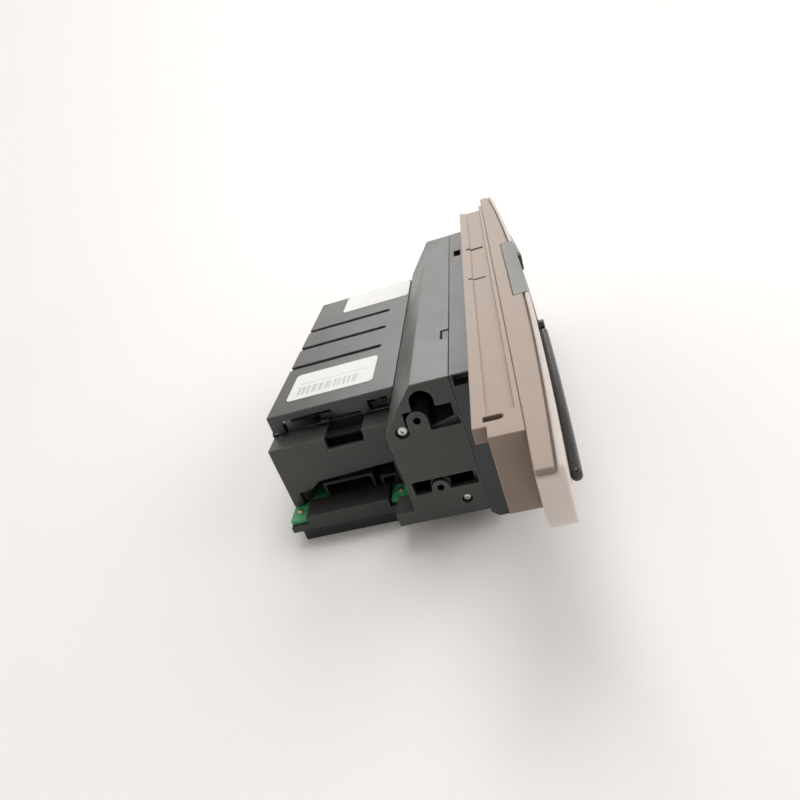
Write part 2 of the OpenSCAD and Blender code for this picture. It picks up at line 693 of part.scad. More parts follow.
module bottom_cover() {
    z1 = low_z - board_t;
    y0 = -rear_near - board_out;
    rim_h = 2.4;
    rim_out = 1.6;
    color([0.27, 0.28, 0.28]) {
        difference() {
            union() {
                // rim under the board, and the belly drawn in below it
                box([rear_x0 + 0.3, y0 - rim_out, z1 - rim_h], [front_x0 - 0.2, rear_far - 1.2, z1]);
                box([rear_x0 + 2.6, y0 + 0.6, base_z], [seam_x - 2, rear_far - 2.6, z1 - rim_h + 0.1]);
                // rail between the board's two tabs
                box([tab_x[0] + board_tab + 0.2, y0 - rim_out, z1 - rim_h],
                    [tab_x[1] - 0.2, -rear_near - 0.1, low_z + rim_out]);
            }
            // space under the board for its parts
            box([rear_x0 + 4.4, y0 + 2.4, base_z + 1.8], [front_x0 - 2, rear_far - 4.4, z1 + 0.1]);
            box([tab_x[0] + board_tab + 1.4, y0 - rim_out + 1.4, z1 - rim_h + 1.4],
                [tab_x[1] - 1.4, -rear_near - 1.3, low_z]);
            // the front housing stands clear above the belly
            box([front_x0 - 0.1, -front_len, body_z - front_h - 0.1], [seam_x, front_len, z1 + 5]);
            for (p = bottom_screw_at) {
                translate([p[0], p[1], base_z - 1]) cylinder(r = 2.6, h = belly_h - 1, $fn = 32);
                translate([p[0], p[1], base_z - 1]) cylinder(r = 1.3, h = belly_h + 3, $fn = 32);
            }
        }
        for (p = bottom_screw_at) translate([p[0], p[1], base_z]) difference() {
            cylinder(r = 3.6, h = belly_h - 0.1, $fn = 32);
            translate([0, 0, -1]) cylinder(r = 2.6, h = belly_h - 1, $fn = 32);
            cylinder(r = 1.3, h = belly_h + 3, $fn = 32);
        }
    }
}

module board_connectors() {
    // a two-row header for the host cable, and a smaller one beside it, just inside the near end
    color([0.12, 0.12, 0.13]) {
        difference() {
            box([rear_x0 + 13, -rear_near + 0.4, low_z], [rear_x0 + 31, -rear_near + 10.4, low_z + 6.6]);
            box([rear_x0 + 14, -rear_near - 0.6, low_z + 1], [rear_x0 + 30, -rear_near + 9, low_z + 5.6]);
        }
        difference() {
            box([rear_x0 + 33, -rear_near + 0.4, low_z], [rear_x0 + 39, -rear_near + 6.4, low_z + 4.6]);
            box([rear_x0 + 34, -rear_near - 0.6, low_z + 1], [rear_x0 + 38, -rear_near + 4.6, low_z + 3.6]);
        }
    }
    color([0.8, 0.68, 0.35]) for (i = [0:6], j = [0, 1])
        box([rear_x0 + 15.2 + 2.1 * i, -rear_near + 5.4, low_z + 1.9 + 2.2 * j],
            [rear_x0 + 15.8 + 2.1 * i, -rear_near + 9.6, low_z + 2.5 + 2.2 * j]);
}

module board_chips() {
    // the larger parts that sit under the board
    z1 = low_z - board_t;
    color([0.08, 0.08, 0.09]) {
        box([rear_x0 + 10, -20, z1 - 1.6], [rear_x0 + 24, -6, z1]);
        box([rear_x0 + 28, -16, z1 - 1.2], [rear_x0 + 35, -9, z1]);
        box([rear_x0 + 12, 14, z1 - 1.2], [rear_x0 + 22, 20, z1]);
        translate([rear_x0 + 32, 16, z1 - 4.4]) cylinder(r = 3, h = 4.4);
    }
}

module roller_slots(x, half) {
    for (s = [-1, 1]) translate([x - half, s * roller_pitch / 2 - roller_w / 2 - 0.8, -100])
        cube([2 * half, roller_w + 1.6, 200]);
}

lens_x = (front_shaft_x + rear_shaft_x) / 2;
lens_half = 3;
lens_len = path_w - 6;

module lens_window() {
    box([lens_x - lens_half - 0.05, -lens_len / 2 - 0.05, -100],
        [lens_x + lens_half + 0.05, lens_len / 2 + 0.05, 100]);
}

module lower_guide_plate() {
    open_half = sqrt(pow(roller_r, 2) - pow(deck_z - plate_t - shaft_z, 2)) + 0.6;
    color([0.16, 0.16, 0.17]) difference() {
        union() {
            box([rear_x0 + wall + 0.05, -bulk_in + 0.05, deck_z - plate_t],
                [front_x0 - wall - 0.05, bulk_in - 0.05, deck_z]);
            // tongues through the front and rear walls
            box([rear_x0 + 0.3, -path_w / 2 + 0.05, deck_z - plate_t],
                [front_x0 - 0.1, path_w / 2 - 0.05, deck_z]);
        }
        roller_slots(front_shaft_x, open_half);
        roller_slots(rear_shaft_x, open_half);
        lens_window();
    }
}

module lower_lens_bar() {
    color([0.75, 0.25, 0.22, 0.7]) {
        box([lens_x - lens_half, -lens_len / 2, deck_z - plate_t - 0.1],
            [lens_x + lens_half, lens_len / 2, deck_z - 0.1]);
        box([lens_x - lens_half - 1, -lens_len / 2, deck_z - plate_t - 1.4],
            [lens_x + lens_half + 1, lens_len / 2, deck_z - plate_t]);
    }
}

module lower_sensor_board() {
    z1 = deck_z - plate_t - 1.4;
    color([0.10, 0.42, 0.28]) box([lens_x - 5, -lens_len / 2, z1 - 1], [lens_x + 5, lens_len / 2, z1]);
    color("white") for (i = [-2:2])
        box([lens_x - 1, i * 12 - 1, z1 - 1.4], [lens_x + 1, i * 12 + 1, z1 - 1]);
}

module motor() {
    y1 = bulk_in;
    color([0.70, 0.71, 0.72]) difference() {
        rod(motor_x, motor_z, motor_r, y1 - motor_len, y1 - 0.05);
        for (s = [-1, 1]) rod(motor_x + s * 5, motor_z, 0.85, y1 - 5, y1 + 1);
        rod(motor_x, motor_z, 0.8 + run_fit, y1 - 6, y1 + 1);
    }
    color([0.2, 0.2, 0.2]) rod(motor_x, motor_z, motor_r - 1, y1 - motor_len - 1.5, y1 - motor_len);
}

module motor_screws() {
    y0 = bulk_in + bulk_t;
    color([0.75, 0.75, 0.76]) for (s = [-1, 1]) {
        rod(motor_x + s * 5, motor_z, 0.8, y0 - 5, y0);
        rod(motor_x + s * 5, motor_z, 1.3, y0, y0 + 0.9);
    }
}

module idler_axle() {
    color([0.75, 0.76, 0.77]) {
        rod(idler_x, idler_z, 1.48, bulk_in - 0.3, bulk_in + bulk_t);
        rod(idler_x, idler_z, idler_axle_r, bulk_in + bulk_t, gear_y + 2 * gear_w + layer_gap + 0.6);
        rod(idler_x, idler_z, 2, bulk_in + bulk_t, gear_y - 0.3);
    }
}

module shaft_bushes() {
    color([0.72, 0.55, 0.30]) for (x = [front_shaft_x, rear_shaft_x]) mirror_y() difference() {
        union() {
            rod(x, shaft_z, bush_r - 0.02, bulk_in - 0.02, bulk_in + bulk_t);
            rod(x, shaft_z, bush_r + bush_rim, bulk_in - 0.8, bulk_in - 0.02);
        }
        rod(x, shaft_z, shaft_r + run_fit, bulk_in - 2, bulk_in + bulk_t + 1);
    }
}

// a shaft with its end chamfers left to the finish
module drive_shaft(x, far_end) {
    color([0.78, 0.79, 0.80]) rod(x, shaft_z, shaft_r, -bulk_in - bulk_t - 7.6, far_end);
}

module front_drive_shaft() {
    drive_shaft(front_shaft_x, gear_y + gear_w + 0.4);
}

module rear_drive_shaft() {
    drive_shaft(rear_shaft_x, gear_y + 3);
}

module drive_rollers(x) {
    color([0.10, 0.10, 0.10]) for (s = [-1, 1]) difference() {
        rod(x, shaft_z, roller_r, (s * roller_pitch - roller_w) / 2, (s * roller_pitch + roller_w) / 2);
        rod(x, shaft_z, shaft_r, s * roller_pitch / 2 - roller_w, s * roller_pitch / 2 + roller_w);
    }
}

module front_drive_rollers() {
    drive_rollers(front_shaft_x);
}

module rear_drive_rollers() {
    drive_rollers(rear_shaft_x);
}

pulley_y = -bulk_in - bulk_t - 6.8;
pulley_w = 4.4;
pulley_rim = 0.9;
flange_w = 0.7;

module pulley(x) {
    color([0.85, 0.84, 0.80]) difference() {
        union() {
            rod(x, shaft_z, pulley_r, pulley_y, pulley_y + pulley_w + 2 * flange_w);
            for (y = [pulley_y, pulley_y + pulley_w + flange_w])
                rod(x, shaft_z, pulley_r + pulley_rim, y, y + flange_w);
        }
        rod(x, shaft_z, shaft_r, pulley_y - 1, 0);
    }
}

module front_pulley() {
    pulley(front_shaft_x);
}

module rear_pulley() {
    pulley(rear_shaft_x);
}

// the outline of a belt run around both pulleys at radius r
module belt_loop(r) {
    for (x = [front_shaft_x, rear_shaft_x]) translate([x, shaft_z]) circle(r);
    translate([rear_shaft_x, shaft_z - r]) square([shaft_pitch, 2 * r]);
}

module drive_belt() {
    color([0.12, 0.12, 0.12])
        along_y(pulley_y + flange_w + 0.3, pulley_y + flange_w + pulley_w - 0.3) difference() {
            belt_loop(pulley_r + 0.1 + belt_t);
            belt_loop(pulley_r + 0.1);
        }
}

to_idler = dir2(front_shaft_x, shaft_z, idler_x, idler_z);
to_motor = dir2(idler_x, idler_z, motor_x, motor_z);

module drive_gear() {
    color([0.90, 0.89, 0.84]) difference() {
        gear_y_axis(front_shaft_x, shaft_z, drive_teeth, to_idler, gear_y, gear_y + gear_w);
        rod(front_shaft_x, shaft_z, shaft_r, gear_y - 1, gear_y + gear_w + 1);
    }
}

module idler_gear() {
    y1 = gear_y + gear_w + layer_gap;
    hub_r = 3.2;
    color([0.90, 0.89, 0.84]) difference() {
        union() {
            gear_y_axis(idler_x, idler_z, idler_small, to_idler + 180 + 180 / idler_small,
                gear_y, gear_y + gear_w);
            rod(idler_x, idler_z, hub_r, gear_y + gear_w - 0.5, y1 + 0.5);
            gear_y_axis(idler_x, idler_z, idler_big, to_motor, y1, y1 + gear_w - 1);
        }
        rod(idler_x, idler_z, idler_axle_r + run_fit, gear_y - 1, y1 + gear_w);
    }
}

module motor_pinion() {
    y1 = gear_y + gear_w + layer_gap;
    color([0.80, 0.70, 0.45]) {
        gear_y_axis(motor_x, motor_z, pinion_teeth, to_motor + 180 + 180 / pinion_teeth,
            y1 - 0.4, y1 + gear_w - 0.6);
        rod(motor_x, motor_z, 0.8, bulk_in - 5, y1 + gear_w);
    }
}

encoder_r = 6;
encoder_y = gear_y + 1;

module encoder_wheel() {
    color([0.10, 0.10, 0.11]) {
        difference() {
            rod(rear_shaft_x, shaft_z, encoder_r, encoder_y, encoder_y + 0.8);
            for (i = [0:11]) along_y(encoder_y - 1, encoder_y + 2) translate([rear_shaft_x, shaft_z])
                rotate(30 * i) translate([encoder_r - 2.2, -0.45]) square([1.6, 0.9]);
            rod(rear_shaft_x, shaft_z, shaft_r, encoder_y - 1, encoder_y + 2);
        }
        difference() {
            rod(rear_shaft_x, shaft_z, shaft_r + 1, encoder_y + 0.8, encoder_y + 1.9);
            rod(rear_shaft_x, shaft_z, shaft_r, encoder_y - 1, encoder_y + 2);
        }
    }
}

module encoder_sensor() {
    // a slotted optical switch astride the wheel's rim, on the bulkhead
    z1 = shaft_z - encoder_r + 2.6;
    z0 = shaft_z - encoder_r - 2.4;
    color([0.09, 0.09, 0.10]) difference() {
        box([rear_shaft_x - 2, bulk_in + bulk_t, z0], [rear_shaft_x + 2, encoder_y + 3.2, z1]);
        box([rear_shaft_x - 3, encoder_y - 0.5, z0 + 1.6], [rear_shaft_x + 3, encoder_y + 1.4, z1 + 1]);
        rod(rear_shaft_x, shaft_z, shaft_r + 1.3, bulk_in, encoder_y + 5);
    }
}

module hinge_pins() {
    color([0.75, 0.76, 0.77]) for (i = [0, 1])
        rod(hinge_x, part_z, hinge_pin_r, min(knuckles[i][0], hinge_ears[i]) + 0.3,
            max(knuckles[i][1], hinge_ears[i] + ear_w) - 0.3);
}

module frame_screws() {
    color([0.75, 0.75, 0.76]) for (y = frame_screw_y, z = frame_screw_z)
        pan_screw_x(y, z, seam_x + frame_t - 1.95, seam_x - 5);
}

module side_screws() {
    // two screws in each end: beside the upper window, and in the small round recess below the lower one
    y0 = -front_len / 2;
    color([0.75, 0.75, 0.76]) translate([0, housing_y, 0]) mirror_y() for (p = side_screw_at) {
        rod(p[0], p[1], p[2], y0 + 0.5, y0 + 1.8);
        rod(p[0], p[1], 0.98, y0 + 1.8, y0 + 7);
    }
}

module bottom_screws() {
    color([0.75, 0.75, 0.76]) for (p = bottom_screw_at) translate([p[0], p[1], 0]) {
        translate([0, 0, base_z + belly_h - 3.3]) cylinder(r = 2.1, h = 1.2, $fn = 32);
        translate([0, 0, base_z + belly_h - 3]) cylinder(r = 0.95, h = 10, $fn = 32);
    }
}

module upper_cover() {
    y0 = near_y;
    y1 = rear_far;
    x1 = front_x0 - part_gap;
    z0 = part_z + part_gap / 2;
    rear_lift = knuckle_r + 0.9;
    groove_y0 = near_y + 37.9;
    color([0.40, 0.41, 0.40]) difference() {
        union() {
            difference() {
                box([rear_x0, y0, z0], [x1, y1, cover_z]);
                box([rear_x0 + upper_wall, y0 + upper_wall, z0 - 1],
                    [x1 - upper_wall, y1 - upper_wall, cover_z - upper_wall]);
                // the rear wall stops above the hinge line, for the note's way out and the swing
                box([rear_x0 - 1, y0 - 1, z0 - 1], [rear_x0 + knuckle_r + 1.5, y1 + 1, part_z + rear_lift]);
                // note's way in, at the front
                box([x1 - wall - 1, -path_w / 2, z0 - 1], [x1 + 1, path_w / 2, part_z + path_gap]);
            }
            // hinge knuckles
            for (y = knuckles) {
                rod(hinge_x, part_z, knuckle_r, y[0], y[1]);
                box([rear_x0, y[0], part_z], [hinge_x + knuckle_r, y[1], part_z + rear_lift + 0.5]);
            }
            // guide for the latch bolt, above and beside it
            for (x = [x1 - 8, x1 - 20]) {
                box([x, y0 + 0.5, latch_z1 + part_gap], [x + 2.5, latch_y1 + 1.8, cover_z - 0.5]);
                box([x, latch_y1 + part_gap, roof_z + roof_t + part_gap],
                    [x + 2.5, latch_y1 + 1.8, cover_z - 0.5]);
            }
            // posts that the upper guide plate hangs from
            for (x = [lens_x - 8.5, lens_x + 8.5], y = [-roof_half + 2, roof_half - 2])
                translate([x, y, roof_z + roof_t])
                    cylinder(r = 1.2, h = cover_z - upper_wall / 2 - roof_z - roof_t, $fn = 32);
            // ribs that carry the pinch axles
            for (x = [front_shaft_x, rear_shaft_x], s = [-1, 1]) box([x - 2.2, s * 26 - 1, pinch_z - 1.4],
                [x + 2.2, s * 26 + 1, cover_z - upper_wall + 0.2]);
        }
        for (y = knuckles) rod(hinge_x, part_z, hinge_pin_r + run_fit, y[0] - 1, y[1] + 1);
        for (x = [front_shaft_x, rear_shaft_x]) rod(x, pinch_z, pinch_axle_r + run_fit, -27.5, 27.5);
        // grooves in the top, with round inner ends
        for (i = [0:groove_n - 1]) translate([0, groove_y0 + i * groove_pitch, cover_z - groove_d]) {
            translate([rear_x0 - 1, -groove_w / 2, 0]) cube([37.6, groove_w, 2]);
            translate([rear_x0 + 36.6, 0, 0]) cylinder(r = groove_w / 2, h = 2, $fn = 32);
        }
        // cut-outs in the near end
        along_y(y0 - 1, y0 + upper_wall + 0.1) polygon([[rear_x0 + 4.4, z0 - 1],
            [rear_x0 + 4.4, z0 + 3.2], [rear_x0 + 5.4, z0 + 4.6], [latch_x + 4.8, z0 + 4.8],
            [latch_x + 6.5, z0 + 2.4], [ledge_cut[1] - 0.6, z0 + 1.4], [ledge_cut[1] - 0.6, z0 - 1]]);
        box([x1 - 10, y0 - 1, z0 + 0.6], [x1 - 3.4, y0 + upper_wall + 0.1, z0 + 4.4]);
        // the latch bolt's way through the front wall
        box([x1 - upper_wall - 1, latch_y0 - part_gap, latch_z0 - part_gap],
            [x1 + 1, latch_y1 + part_gap, latch_z1 + part_gap]);
    }
}

module upper_guide_plate() {
    open_half = pinch_r + 0.7;
    color([0.16, 0.16, 0.17]) difference() {
        box([rear_x0 + 5.4, -roof_half, roof_z],
            [front_x0 - part_gap - upper_wall, roof_half, roof_z + roof_t]);
        roller_slots(front_shaft_x, open_half);
        roller_slots(rear_shaft_x, open_half);
        for (x = [front_shaft_x, rear_shaft_x]) box([x - 2.5, -28, -100], [x + 2.5, 28, 100]);
        lens_window();
    }
}

module upper_lens_bar() {
    color([0.75, 0.25, 0.22, 0.7]) {
        box([lens_x - lens_half, -lens_len / 2, roof_z + 0.1],
            [lens_x + lens_half, lens_len / 2, roof_z + roof_t + 0.1]);
        box([lens_x - lens_half - 1, -lens_len / 2, roof_z + roof_t],
            [lens_x + lens_half + 1, lens_len / 2, roof_z + roof_t + 1.4]);
    }
}

module upper_sensor_board() {
    z0 = roof_z + roof_t + 1.4;
    color([0.10, 0.42, 0.28]) box([lens_x - 6, -lens_len / 2, z0], [lens_x + 6, lens_len / 2, z0 + 0.8]);
    color([0.08, 0.08, 0.09]) for (i = [-2:2])
        box([lens_x + 4.2, i * 12 - 1, z0 - 0.7], [lens_x + 5.6, i * 12 + 1, z0]);
}

module pinch_springs() {
    // leaf springs between the cover and the middle of each axle
    z1 = cover_z - upper_wall;
    z0 = pinch_z + pinch_axle_r + move_gap / 2;
    color([0.78, 0.79, 0.80]) for (x = [front_shaft_x, rear_shaft_x]) {
        box([x - 1.5, -9, z1 - 0.3], [x + 1.5, 9, z1]);
        mirror_y() along_x(x - 1.5, x + 1.5) polygon([[9, z1], [8.4, z1], [3, z0], [3.6, z0]]);
        box([x - 1.5, -3.5, z0], [x + 1.5, 3.5, z0 + 0.25]);
    }
}

module label(x0, y0, w, l) {
    translate([x0 + w / 2, y0 + l / 2, cover_z]) linear_extrude(0.12) round_rect(w, l, 1.8);
}

module near_label() {
    color([0.93, 0.93, 0.90]) label(rear_x0 + 5.2, near_y + 8.9, 32.5, 20.5);
}

module far_label() {
    color([0.93, 0.93, 0.90]) label(rear_x0 + 13.9, rear_far - 0.9 - 19.8, 31.6, 19.8);
}

module cover_latch() {
    color([0.10, 0.10, 0.11]) {
        box([latch_x, latch_y0, latch_z0], [latch_x + latch_len, latch_y1, latch_z1]);
        // thumb tab that reaches out over the ledge, through the opening in the cover's near end
        box([latch_x, near_y - 0.6, latch_z0], [latch_x + 3.4, latch_y0 + 0.1, latch_z0 + 1.2]);
    }
}

module pinch_axle(x) {
    color([0.78, 0.79, 0.80]) rod(x, pinch_z, pinch_axle_r, -26.8, 26.8);
}

module pinch_rollers(x) {
    color([0.86, 0.86, 0.83]) for (s = [-1, 1]) difference() {
        rod(x, pinch_z, pinch_r, (s * roller_pitch - roller_w) / 2 + 0.5,
            (s * roller_pitch + roller_w) / 2 - 0.5);
        rod(x, pinch_z, pinch_axle_r, s * roller_pitch / 2 - roller_w, s * roller_pitch / 2 + roller_w);
    }
}

module front_pinch_axle() {
    pinch_axle(front_shaft_x);
}

module front_pinch_rollers() {
    pinch_rollers(front_shaft_x);
}

module rear_pinch_axle() {
    pinch_axle(rear_shaft_x);
}

module rear_pinch_rollers() {
    pinch_rollers(rear_shaft_x);
}

front_housing();
mounting_frame();
bezel_flange();
bezel_trim();
front_cover();
mouth_throat();
near_lip();
far_lip();
status_window();
lower_housing();
bottom_cover();
main_board();
board_connectors();
board_chips();
lower_guide_plate();
lower_lens_bar();
lower_sensor_board();
motor();
motor_screws();
idler_axle();
encoder_sensor();
shaft_bushes();
drive_belt();
hinge_pins();
frame_screws();
side_screws();
bottom_screws();
upper_cover();
upper_guide_plate();
upper_lens_bar();
upper_sensor_board();
pinch_springs();
near_label();
far_label();
cover_latch();
front_pinch_axle();
front_pinch_rollers();
rear_pinch_axle();
rear_pinch_rollers();
front_drive_shaft();
front_drive_rollers();
front_pulley();
drive_gear();
rear_drive_shaft();
rear_drive_rollers();
rear_pulley();
encoder_wheel();
idler_gear();
motor_pinion();
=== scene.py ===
import json
import math

import bmesh
import bpy
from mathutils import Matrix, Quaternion, Vector


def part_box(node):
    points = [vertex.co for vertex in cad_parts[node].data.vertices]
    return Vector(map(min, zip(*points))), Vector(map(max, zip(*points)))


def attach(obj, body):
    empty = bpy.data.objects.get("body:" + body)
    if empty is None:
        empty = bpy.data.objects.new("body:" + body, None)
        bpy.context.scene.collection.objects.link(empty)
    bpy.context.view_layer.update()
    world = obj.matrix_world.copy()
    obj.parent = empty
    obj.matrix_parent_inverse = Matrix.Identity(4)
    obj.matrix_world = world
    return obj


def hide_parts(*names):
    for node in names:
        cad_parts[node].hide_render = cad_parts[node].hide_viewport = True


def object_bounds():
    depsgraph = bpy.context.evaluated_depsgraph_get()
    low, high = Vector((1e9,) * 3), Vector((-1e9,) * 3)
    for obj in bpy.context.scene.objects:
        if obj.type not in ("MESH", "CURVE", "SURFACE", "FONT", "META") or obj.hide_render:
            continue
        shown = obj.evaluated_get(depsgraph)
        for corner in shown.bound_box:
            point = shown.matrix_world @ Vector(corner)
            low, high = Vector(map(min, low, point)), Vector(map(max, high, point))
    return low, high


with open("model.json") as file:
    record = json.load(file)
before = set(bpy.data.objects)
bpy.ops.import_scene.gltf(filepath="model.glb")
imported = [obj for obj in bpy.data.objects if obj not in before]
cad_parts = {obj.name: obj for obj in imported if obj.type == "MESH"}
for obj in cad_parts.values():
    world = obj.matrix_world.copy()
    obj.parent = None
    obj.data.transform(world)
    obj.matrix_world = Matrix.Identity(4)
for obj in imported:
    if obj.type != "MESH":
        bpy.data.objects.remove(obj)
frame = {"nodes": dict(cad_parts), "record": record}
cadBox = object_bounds()
mm = 0.001
mergeGap = 1e-6
seamGap = 1e-7
levelGap = 1e-8
print("frame loaded:", len(frame["nodes"]), "nodes")


# camera, stage and lights
camera = {
    "place": (0.01177, -0.21802, 0.08031),
    "look": (-0.20989, 0.87068, -0.44481),
    "roll": math.radians(-20.13),
    "lens": 27.9,
    "sensor": 36,
    "clip": 0.01,
}

stage = {
    "floorRadius": 0.55,
    "flatShare": 0.4,
    "coveRadius": 0.45,
    "coveSteps": 10,
    "wallHeight": 0.9,
    "segments": 72,
    "roughness": 0.7,
    "specular": 0.2,
    "tint": (0.90, 0.885, 0.875, 1),
}

air = {"tint": (0.95, 0.97, 1.0, 1), "strength": 0.2}

# each light: name, place, size, power and tint
lights = [
    ("topLight", (0.12, 0.34, 1.05), 0.8, 6.2, (1.0, 0.99, 0.975)),
    ("windowLight", (0.85, -0.05, 0.42), 0.7, 3.0, (1.0, 0.985, 0.98)),
    ("backLight", (-0.15, 0.95, 0.50), 0.5, 2.2, (1.0, 1.0, 1.0)),
]


def makeCamera():
    data = bpy.data.cameras.new("camera")
    data.lens = camera["lens"]
    data.sensor_width = camera["sensor"]
    data.clip_start = camera["clip"]
    obj = bpy.data.objects.new("camera", data)
    bpy.context.collection.objects.link(obj)
    level = Vector(camera["look"]).to_track_quat("-Z", "Y")
    obj.rotation_mode = "QUATERNION"
    obj.rotation_quaternion = level @ Quaternion((0, 0, 1), camera["roll"])
    obj.location = camera["place"]
    bpy.context.scene.camera = obj


def makeStage():
    radius, cove, steps = stage["floorRadius"], stage["coveRadius"], stage["coveSteps"]
    turns = [math.radians(90 / steps * i) for i in range(steps + 1)]
    arc = [(radius + cove * math.sin(a), cove * (1 - math.cos(a))) for a in turns]
    wallTop = (arc[-1][0], arc[-1][1] + stage["wallHeight"])
    profile = [(0, 0), (radius * stage["flatShare"], 0)] + arc + [wallTop]
    bm = bmesh.new()
    verts = [bm.verts.new((x, 0, z + cadBox[0].z)) for x, z in profile]
    edges = [bm.edges.new(pair) for pair in zip(verts, verts[1:])]
    bmesh.ops.spin(bm, geom=verts + edges, cent=(0, 0, 0), axis=(0, 0, 1), angle=math.tau,
                   steps=stage["segments"], use_merge=True, use_duplicate=False)
    bmesh.ops.remove_doubles(bm, verts=bm.verts, dist=mergeGap)
    bmesh.ops.recalc_face_normals(bm, faces=bm.faces)
    bmesh.ops.reverse_faces(bm, faces=bm.faces)
    mesh = bpy.data.meshes.new("studioFloor")
    bm.to_mesh(mesh)
    bm.free()
    mesh.shade_smooth()
    floor = bpy.data.objects.new("studioFloor", mesh)
    bpy.context.collection.objects.link(floor)
    mat = bpy.data.materials.new("studioFloor")
    mat.use_nodes = True
    shader = mat.node_tree.nodes["Principled BSDF"]
    shader.inputs["Base Color"].default_value = stage["tint"]
    shader.inputs["Roughness"].default_value = stage["roughness"]
    shader.inputs["Specular IOR Level"].default_value = stage["specular"]
    mesh.materials.append(mat)


def makeLights():
    middle = (cadBox[0] + cadBox[1]) / 2
    for name, place, size, power, tint in lights:
        data = bpy.data.lights.new(name, "AREA")
        data.shape = "DISK"
        data.size = size
        data.energy = power
        data.color = tint
        obj = bpy.data.objects.new(name, data)
        bpy.context.collection.objects.link(obj)
        obj.location = place
        obj.rotation_mode = "QUATERNION"
        obj.rotation_quaternion = (middle - Vector(place)).to_track_quat("-Z", "Y")
    world = bpy.data.worlds.new("studioAir")
    world.use_nodes = True
    background = world.node_tree.nodes["Background"]
    background.inputs["Color"].default_value = air["tint"]
    background.inputs["Strength"].default_value = air["strength"]
    bpy.context.scene.world = world
    bpy.context.scene.view_settings.view_transform = "Standard"


makeCamera()
makeStage()
makeLights()
print("camera, floor and lights ready")


# shared shader groups
def newGroup(name, inputs, outputs):
    tree = bpy.data.node_groups.new(name, "ShaderNodeTree")
    for label, value in inputs:
        kind = "NodeSocketColor" if isinstance(value, tuple) else "NodeSocketFloat"
        tree.interface.new_socket(label, in_out="INPUT", socket_type=kind).default_value = value
    for label, kind in outputs:
        tree.interface.new_socket(label, in_out="OUTPUT", socket_type=kind)
    start = tree.nodes.new("NodeGroupInput")
    end = tree.nodes.new("NodeGroupOutput")
    return tree, start, end


def addNode(tree, kind, settings=None, **sockets):
    node = tree.nodes.new(kind)
    for key, value in (settings or {}).items():
        setattr(node, key, value)
    for key, value in sockets.items():
        socket = node.inputs[key.replace("_", " ")]
        if isinstance(value, bpy.types.NodeSocket):
            tree.links.new(value, socket)
        else:
            socket.default_value = value
    return node


def mathNode(tree, operation, a, b=0.0):
    node = tree.nodes.new("ShaderNodeMath")
    node.operation = operation
    for socket, value in zip(node.inputs, (a, b)):
        if isinstance(value, bpy.types.NodeSocket):
            tree.links.new(value, socket)
        else:
            socket.default_value = value
    return node.outputs[0]


def rangeNode(tree, value, low, high, outLow=0.0, outHigh=1.0):
    node = addNode(tree, "ShaderNodeMapRange", {"clamp": True}, Value=value, From_Min=low,
                   From_Max=high, To_Min=outLow, To_Max=outHigh)
    return node.outputs["Result"]


def mixNode(tree, factor, a, b):
    node = tree.nodes.new("ShaderNodeMix")
    node.data_type = "RGBA"
    for name, value in (("Factor", factor), ("A", a), ("B", b)):
        socket = next(s for s in node.inputs if s.name == name and s.enabled)
        if isinstance(value, bpy.types.NodeSocket):
            tree.links.new(value, socket)
        else:
            socket.default_value = value
    return next(s for s in node.outputs if s.enabled)


def objectPlace(tree):
    return addNode(tree, "ShaderNodeTexCoord").outputs["Object"]


# what each effect fades between: low and high ends of a noise, an angle or a depth
fades = {
    "litWornEdge": (0.995, 0.93), "litWornBreaks": (0.38, 0.62),
    "dustFacing": (0.35, 0.95), "dustCloud": (0.3, 0.75), "dustSpeck": (0.6, 0.72, 0.75, 1.0),
    "endFacing": (0.55, 0.95), "endPatch": (0.25, 0.75, 0.7, 1.0),
    "blotch": (0.3, 0.7), "fineBlotch": (0.35, 0.7),
    "trackEdge": (0.06, 0.1, 1.0, 0.0),
}


def fadeNode(tree, value, name):
    return rangeNode(tree, value, *fades[name])


def buildMouldGrain():
    # fine spark-eroded texture of moulded plastic: its height, and a broad blotchy shade
    tree, start, end = newGroup("mouldGrain", [("Grain", 2600.0), ("Blotch", 38.0)],
                                [("Height", "NodeSocketFloat"), ("Shade", "NodeSocketFloat")])
    place = objectPlace(tree)
    fine = addNode(tree, "ShaderNodeTexNoise", Vector=place, Scale=start.outputs["Grain"],
                   Detail=3.0, Roughness=0.65)
    cells = addNode(tree, "ShaderNodeTexVoronoi", {"feature": "SMOOTH_F1"}, Vector=place,
                    Scale=start.outputs["Grain"], Smoothness=0.6)
    height = mathNode(tree, "ADD", fine.outputs["Fac"], cells.outputs["Distance"])
    blotch = addNode(tree, "ShaderNodeTexNoise", Vector=place, Scale=start.outputs["Blotch"],
                     Detail=5.0, Roughness=0.6, Distortion=0.4)
    tree.links.new(height, end.inputs["Height"])
    tree.links.new(blotch.outputs["Fac"], end.inputs["Shade"])
    return tree


def buildEdgeWearAndHighlight():
    # a mask that is 1 along edges, broken up so that no edge is even: it lays on both edge wear and a
    # painted highlight along the edges
    tree, start, end = newGroup("edgeWearAndHighlight", [("Width", 0.0004), ("Breakup", 420.0)],
                                [("Mask", "NodeSocketFloat")])
    place = objectPlace(tree)
    eased = addNode(tree, "ShaderNodeBevel", {"samples": 4}, Radius=start.outputs["Width"])
    normal = addNode(tree, "ShaderNodeNewGeometry").outputs["Normal"]
    turn = addNode(tree, "ShaderNodeVectorMath", {"operation": "DOT_PRODUCT"})
    tree.links.new(eased.outputs["Normal"], turn.inputs[0])
    tree.links.new(normal, turn.inputs[1])
    edge = fadeNode(tree, turn.outputs["Value"], "litWornEdge")
    noise = addNode(tree, "ShaderNodeTexNoise", Vector=place, Scale=start.outputs["Breakup"],
                    Detail=4.0, Roughness=0.7)
    broken = fadeNode(tree, noise.outputs["Fac"], "litWornBreaks")
    tree.links.new(mathNode(tree, "MULTIPLY", edge, broken), end.inputs["Mask"])
    return tree


